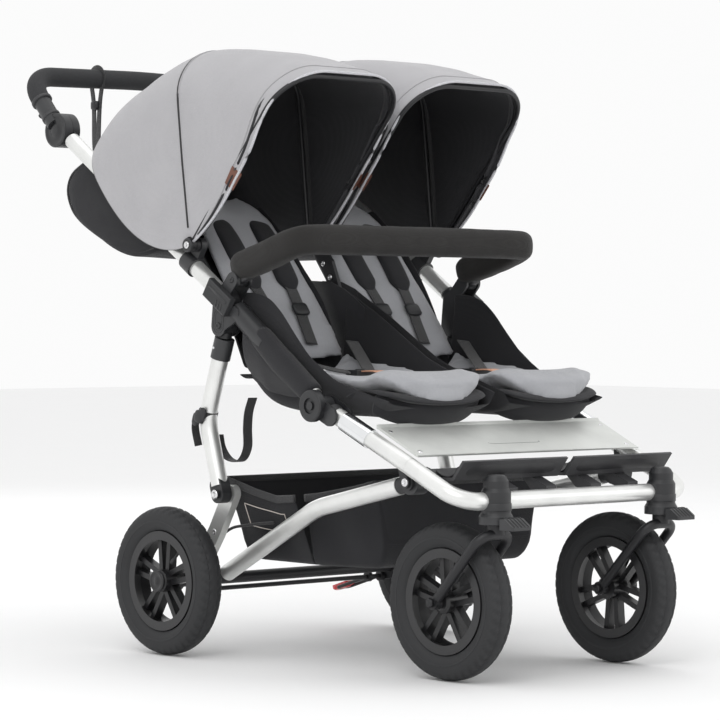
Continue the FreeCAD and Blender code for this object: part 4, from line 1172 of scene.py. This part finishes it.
def make_basket():
    """Two halves of sagging cloth, with tape bound over their rims and a plain outlined patch."""
    rear, front = basket_half("rear", 18, -1), basket_half("front", 24, 0)
    for part, piece in (("rear", rear), ("front", front)):
        thicken(piece, 1.6)
        subdivide(piece)
        finish_piece(piece, "rear_frame", [f"basket_{part}"])
    crumpled = [front]

    def bind(label, part, path, width):
        tape = swept(f"basket_binding_{label}", path, soft_box(4.0, width, 3.0, 12), "black_webbing",
                     "rear_frame")
        if part == "front":
            crumpled.append(tape)

    for side in (1, -1):
        for part, ends in BASKET_ENDS.items():
            path = [basket_spot(y, 1.0 if side > 0 else 0.0) for y in np.linspace(*ends, 30)]
            bind(f"{part}_{side + 1}", part, path, 13.0)
    for label, part, end in (("back", "rear", 1), ("fore", "front", 0)):
        y = BASKET_ENDS[part][end]
        path = [basket_spot(y, 0.0).lerp(basket_spot(y, 1.0), t) for t in np.linspace(0, 1, 24)]
        bind(label, part, path, 12.0)
    corners = [(-50, 0.044), (44, 0.044), (44, 0.1), (-50, 0.1), (-50, 0.044)]
    outline = []
    for (y0, v0), (y1, v1) in zip(corners, corners[1:]):
        outline += [basket_spot(y0 + (y1 - y0) * t, v0 + (v1 - v0) * t) for t in np.linspace(0, 0.95, 12)]
    proud = [p + Vector((-0.002, 0, 0)) for p in outline]
    swept("basket_patch", proud, round_section(0.8, 6), "badge", "rear_frame", closed=True)
    for piece in crumpled:
        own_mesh(piece)


# Side outline of the pouch, from its front top edge under the floor to its rear top edge.
POUCH_SIDE = [(246, 702), (258, 680), (300, 671), (345, 674), (400, 690), (452, 712), (500, 738),
              (528, 764), (541, 800), (526, 832), (482, 856), (458, 853)]
POUCH_CENTRE = Vector((0, 395, 765))


def make_pouch():
    """Sagging storage pouch: a soft side outline drawn across, with slumped end walls."""
    outline = curve_through([Vector((0, y, z)) for y, z in POUCH_SIDE], 48)
    half, verts, columns = 236.0, [], len(outline)
    stations = [-1.0, -0.985, -0.95, -0.88, -0.75, -0.5, -0.25, 0.0, 0.25, 0.5, 0.75, 0.88, 0.95, 0.985, 1.0]
    for s in stations:
        tuck = 0.985 - 0.09 * abs(s) ** 10 - 0.03 * abs(s) ** 3
        sag = 1.0 + 0.02 * math.cos(s * math.pi / 2)
        for p in outline:
            q = POUCH_CENTRE + (p - POUCH_CENTRE) * tuck * sag
            verts.append(point(s * half, q.y, min(q.z, p.z + 4)))
    faces = grid_faces(len(stations), columns)
    faces += [cap[::-1] for cap in caps(len(stations), columns)]
    pouch = new_mesh("pouch_cloth", verts, faces, "black_fabric")
    crumple(pouch, 3.0, 13.0)
    thicken(pouch, 1.8)
    subdivide(pouch)
    finish_piece(pouch, "handle_frame", ["pouch"])
    band_path = [point(x, 458, 853) for x in np.linspace(-half, half, 40)]
    swept("pouch_binding", band_path, soft_box(12.0, 3.6, 3.0, 12), "black_webbing", "handle_frame")
    for side in (1, -1):
        tucked = [POUCH_CENTRE + (Vector((0, *p)) - POUCH_CENTRE) * 0.885 for p in POUCH_SIDE]
        path = curve_through([point(side * 232.5, p.y, p.z) for p in tucked[1:-1]], 50)
        swept(f"pouch_piping_{side + 1}", path, round_section(2.0, 8), "black_webbing", "handle_frame",
              up=AXIS_X)
    patch = [point(-238.6, 322 + 30 * a, 752 + 24 * b) for a, b in ((0, 0), (1, 0.1), (1, 1.1), (0, 1))]
    tab = new_mesh("pouch_patch", patch, [(0, 1, 2, 3)], "leather_tab", False)
    thicken(tab, 1.2, offset=0.0)
    finish_piece(tab, "handle_frame")


# ---- handle, frame joints and small fittings ------------------------------------------------


def make_handle_details():
    """Bosses on the handle pivots, and two rubber rings on each arm."""
    direction = Vector((0, 97, 102)).normalized()
    for word, side in SIDES:
        pivot = point(275.5 * side, *HANDLE_PIVOT)
        boss = [(30.0, 0), (30.0, 1.0), (26.0, 2.0), (24.0, 0.9), (12.0, 0.9), (10.5, 2.6), (7.5, 3.2),
                (0.5, 3.2)]
        middle = point(283.5 * side, *HANDLE_PIVOT)
        turned(f"handle_boss_{word}", boss, middle, (side, 0, 0), "black_plastic", "handlebar", 48)
        for label, distance, radius in (("lower", 34.0, 17.2), ("upper", 75.0, 19.0)):
            middle = pivot + direction * distance / 1000
            ring = [(radius - 1.6, -3.5), (radius, -2.5), (radius, 2.5), (radius - 1.6, 3.5)]
            turned(f"handle_ring_{label}_{word}", ring, middle, direction, "black_rubber", "handlebar", 36)


def make_wrist_strap():
    """Loop of webbing round the grip that hangs down, with its two layers sewn at the neck."""
    x = -108.0
    grip_y, grip_z, r = 601.5, 1008.0, 19.2
    loop = [point(x, grip_y + 7, 900), point(x, grip_y + 9, 960)]
    loop += [point(x, grip_y + r * math.cos(a), grip_z + r * math.sin(a))
             for a in np.linspace(-0.5, math.pi + 0.5, 11)]
    loop += [point(x, grip_y - 9, 960), point(x, grip_y - 5, 900), point(x, grip_y - 2, 842)]
    tail = [point(x, grip_y + 1.5, 842), point(x, grip_y + 4, 870)] + loop

    def section(run):
        return soft_box(11.0 + 5.0 * abs(2 * run - 1) ** 2, 1.8, 6.0, 12)

    band = sweep("wrist_strap_webbing", curve_through(tail, 110), section, "black_webbing", AXIS_X)
    turn_flat(band, x)
    finish_piece(band, "handlebar", ["wrist_strap"])
    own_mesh(band)
    subdivide(swept("wrist_strap_keeper", [point(x, grip_y + 1.5, z) for z in (949, 955, 961, 967)],
                    soft_box(19.0, 19.0, 3.0, 16), "black_plastic", "handlebar", up=AXIS_X))


def turn_flat(obj, x):
    """Keeps a strap's mesh within 8.5 mm of its own plane, which is at x."""
    middle, limit = x / 1000, 0.0085
    for v in obj.data.vertices:
        v.co.x = middle + max(-limit, min(limit, v.co.x - middle))


def make_fold_strap():
    """Webbing that hangs in a hook shape under the near seat."""
    path = [point(-243, y, z) for y, z in ((0, 436), (10, 412), (13, 385), (13, 352), (30, 330),
                                           (60, 332), (80, 350), (87, 372))]
    band = strap("fold_strap_webbing", path, 20.0, 1.8, "black_webbing", Vector((0, 0.2, 1)), 60)
    finish_piece(band, "seat_frame", ["fold_strap"])
    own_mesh(band)


def make_latch_details():
    """Long groove and three short ribs on each fold latch."""
    unit = Vector((0, 457, 301)).normalized()
    over = Vector((0, -unit.z, unit.y))
    # Ends of each line along and over the latch, and its width and height.
    lines = [((along, -7), (along + 3, 4), 2.6, 1.6) for along in (-22.0, -15.0, -8.0)]
    lines.append(((-28, 12), (24, 12), 4.6, 1.8))
    latch_face = 297.8
    for word, side in SIDES:
        origin = point(latch_face * side, *FOLD_PIVOT)
        ribs = []
        for start, end, width, height in lines:
            a, b = (origin + (unit * along + over * up) / 1000 for along, up in (start, end))
            ribs.append(sweep("latch_rib", [a, a.lerp(b, 0.5), b], soft_box(width, height, 3.0, 10),
                              "black_plastic", AXIS_X * side))
        finish_piece(join(f"latch_ribs_{word}", ribs), f"fold_latch_{word}")


def racetrack(a, b, radius, count=40):
    """Closed loop of points round a link with round ends, in the side view."""
    a, b = Vector((0, *a)), Vector((0, *b))
    along = (b - a).normalized()
    over = Vector((0, -along.z, along.y))
    out = []
    for t in np.linspace(0, 2 * math.pi, count, endpoint=False):
        middle = b if math.cos(t) >= 0 else a
        out.append(middle + along * radius * math.cos(t) + over * radius * math.sin(t))
    return out


def make_bracket_details():
    """Raised ridges on the fold brackets, and the rivets and bolts of the frame's pivots."""
    for word, side in SIDES:
        bracket_face = 284.9
        for label, radius, width in (("outer", 12.5, 1.4), ("inner", 8.2, 1.2)):
            loop = racetrack(LEG_PIVOT, (39.0, 572.0), radius)
            path = [point(bracket_face * side, p.y, p.z) for p in loop]
            swept(f"link_ridge_{label}_{word}", path, round_section(width / 2, 8), "black_plastic",
                  "seat_frame", up=AXIS_X, closed=True)
        rivet(f"leg_pivot_rivet_{word}", 285.0, LEG_PIVOT, side, "seat_frame", 5.6, 2.6, *BLACK_BOLT)
        rivet(f"bumper_pivot_rivet_{word}", 285.0, BUMPER_PIVOT, side, "seat_frame", 5.0, 2.0, *BLACK_BOLT)
        rivet(f"hood_pivot_rivet_{word}", 297.0, HOOD_PIVOT, side, f"hood_front_{word}", 6.4, 2.4)
        disc = [(12.0, -5.0), (12.0, -1.0), (11.0, 0.4), (7.6, 0.6), (7.0, 0.0), (0.5, 0.0)]
        middle = point(297.0 * side, *HOOD_PIVOT)
        turned(f"hood_pivot_disc_{word}", disc, middle, (side, 0, 0), "black_plastic",
               f"hood_front_{word}", 36)
        rivet(f"collar_rivet_{word}", 284.4, (52.5, 519.0), side, "legs", 2.4, 1.2)
        rivet(f"knee_rivet_{word}", 282.6, KNEE_PIVOT, side, "legs", 8.0, 3.0)
        rivet(f"axle_rivet_{word}", 251.8, (88.0, 208.0), side, "rear_frame", 5.0, 1.6)
        rivet(f"front_pivot_bolt_{word}", 258.6, FRONT_PIVOT, side, "front_frame", 7.0, 2.6)
        rivet(f"clevis_bolt_{word}", 273.4, (142.0, 668.0), side, "handle_frame", 3.0, 1.4, *BLACK_BOLT)
    for i, pair in enumerate(((60.0, 612.0), (74.0, 640.0), (92.0, 664.0))):
        for side in (1, -1):
            rivet(f"centre_rivet_{i}_{side + 1}", 3.5, pair, side, "handle_frame", 5.0, 2.2)


def make_leg_buckles():
    """Strap round each leg with a moulded side-release buckle on its outer face."""
    for word, side in SIDES:
        knee_top = point(SIDE_PLANE * side, 87.5, 403)
        axis = (point(SIDE_PLANE * side, 88, 400) - point(SIDE_PLANE * side, 62, 479)).normalized()
        ring = [(16.4, -11), (16.8, -10), (16.8, 10), (16.4, 11)]
        turned(f"leg_strap_{word}", ring, knee_top, axis, "black_webbing", "legs", 36)
        body = []
        for offset, width, height in ((0.0, 21.0, 9.0), (9.0, 15.4, 6.0), (-9.0, 15.4, 6.0)):
            middle = knee_top + Vector((side * 0.0185, 0, 0)) + Vector((0, 0.002, -0.001)) * offset / 2
            a, b = middle - axis * 0.012, middle + axis * 0.012
            body.append(sweep("buckle_part", [a, a.lerp(b, 0.5), b], soft_box(width, height, 3.0, 16),
                              "black_plastic", AXIS_X * side))
        finish_piece(subdivide(join(f"leg_buckle_{word}", body)), "legs")
        route = [knee_top + Vector((side * x, y, z))
                 for x, y, z in ((0.006, 0.017, 0.004), (0.005, 0.026, -0.018), (0.001, 0.022, -0.05))]
        tail = strap(f"leg_strap_tail_{word}", route, 16.0, 1.6, "black_webbing", Vector((0, 1, 0.3)), 16)
        finish_piece(tail, "legs")


def make_foot_rests():
    """Two curled rubber foot rests with rounded ends, over the CAD's flatter mats."""
    profile = [(-417, 334), (-432, 326), (-450, 321.5), (-470, 322.5), (-486, 331), (-497, 349)]
    line = curve_through([Vector((0, y, z)) for y, z in profile], 16)
    for word, side in SIDES:
        rows = []
        for s in np.linspace(-1, 1, 36):
            x = 125 + s * 116
            ends = 1 - abs(s) ** 9
            row = []
            for k, p in enumerate(line):
                t = k / (len(line) - 1)
                mid = line[len(line) // 2]
                q = mid.lerp(p, 0.55 + 0.45 * ends)
                row.append(point(x * side, q.y, q.z + 4.0 * (1 - ends) + 2.5 * t * (1 - abs(s) ** 2)))
            rows.append(row)
        mat = pad_mesh(f"foot_rest_mat_{word}", rows, 6.5, "black_rubber")
        finish_piece(subdivide(mat), "front_frame")


PLATE_NORMAL = Vector((0, -0.415, 0.909))


def plate_top(y):
    """Height of the footplate's top face, which lies on the two front tubes."""
    slope = 0.45726
    return KNOB_PIVOT[1] + (y - KNOB_PIVOT[0]) * slope + 21.6


def make_footplate_details():
    """Rivets near the footplate's corners, and a plain pressed outline on it."""
    for word, side in SIDES:
        for label, x, y in (("rear", 244.0, -336.0), ("front", 240.0, -400.0)):
            head = [(4.6, 0), (4.6, 0.8), (3.2, 1.9), (0.4, 2.2)]
            made = lathe(f"plate_rivet_{label}_{word}", head, point(x * side, y, plate_top(y)),
                         PLATE_NORMAL, "bolt_steel", 24)
            finish_piece(made, "front_frame")
    corners = [(-58, -352), (58, -352), (58, -384), (-58, -384)]
    loop = []
    for (x0, y0), (x1, y1) in zip(corners, corners[1:] + corners[:1]):
        loop += [(x0 + (x1 - x0) * t, y0 + (y1 - y0) * t) for t in np.linspace(0.06, 0.94, 8)]
    path = [point(x - 10, y, plate_top(y) + 0.1) for x, y in loop]
    swept("plate_outline", path, round_section(0.9, 6), "black_plastic", "front_frame",
          up=PLATE_NORMAL, closed=True)


def make_caster_details():
    """Caps and bands on the caster housings, grip ribs on the swivel locks, and the fork nuts."""
    for word, side in SIDES:
        top, below = (point(CASTER_X * side, -520, z) for z in (326, 279))
        cap = [(15.0, -3.0), (15.0, 0.5), (12.5, 2.6), (7.0, 3.4), (0.5, 3.6)]
        turned(f"caster_cap_{word}", cap, top, (0, 0, 1), "black_plastic", "front_frame", 36)
        band = [(24.2, -6.0), (24.6, -5.0), (24.6, 5.0), (24.2, 6.0)]
        turned(f"caster_band_{word}", band, below, (0, 0, 1), "black_plastic", "front_frame")
        ribs = []
        for i in range(5):
            x = CASTER_X * side + (i - 2) * 7.5
            route = [point(x, y, z)
                     for y, z in ((-551, 263.0), (-557.5, 263.2), (-566, 258.0), (-576.5, 250.4))]
            ribs.append(sweep("lock_rib", route, round_section(1.2, 8), "black_plastic"))
        finish_piece(join(f"swivel_lock_ribs_{word}", ribs), f"swivel_lock_{word}")
        for hand in (1, -1):
            nut = [(8.0, 0), (8.0, 2.6), (6.6, 4.4), (0.5, 4.6)]
            place = point(CASTER_X * side + hand * 44.0, -420, TYRE_RADIUS)
            turned(f"fork_nut_{word}_{hand + 1}", nut, place, (hand, 0, 0), "black_steel",
                   f"caster_{word}", 6)


def make_brake_details():
    """Red sleeve on the brake pedal's wires."""
    route = [point(187, y, z) for y, z in ((232, 84.2), (240, 81.8), (256, 76.8), (263, 74.6))]
    subdivide(swept("brake_pad_grip", route, soft_box(25.0, 11.0, 3.0, 20), "red_plastic", "brake"))


def main():
    paint_cad_nodes()
    make_camera()
    make_studio()
    make_wheels()
    make_hoods()
    make_seats()
    make_bumper()
    make_basket()
    make_pouch()
    make_handle_details()
    make_wrist_strap()
    make_fold_strap()
    make_latch_details()
    make_bracket_details()
    make_leg_buckles()
    make_foot_rests()
    make_footplate_details()
    make_caster_details()
    make_brake_details()


main()
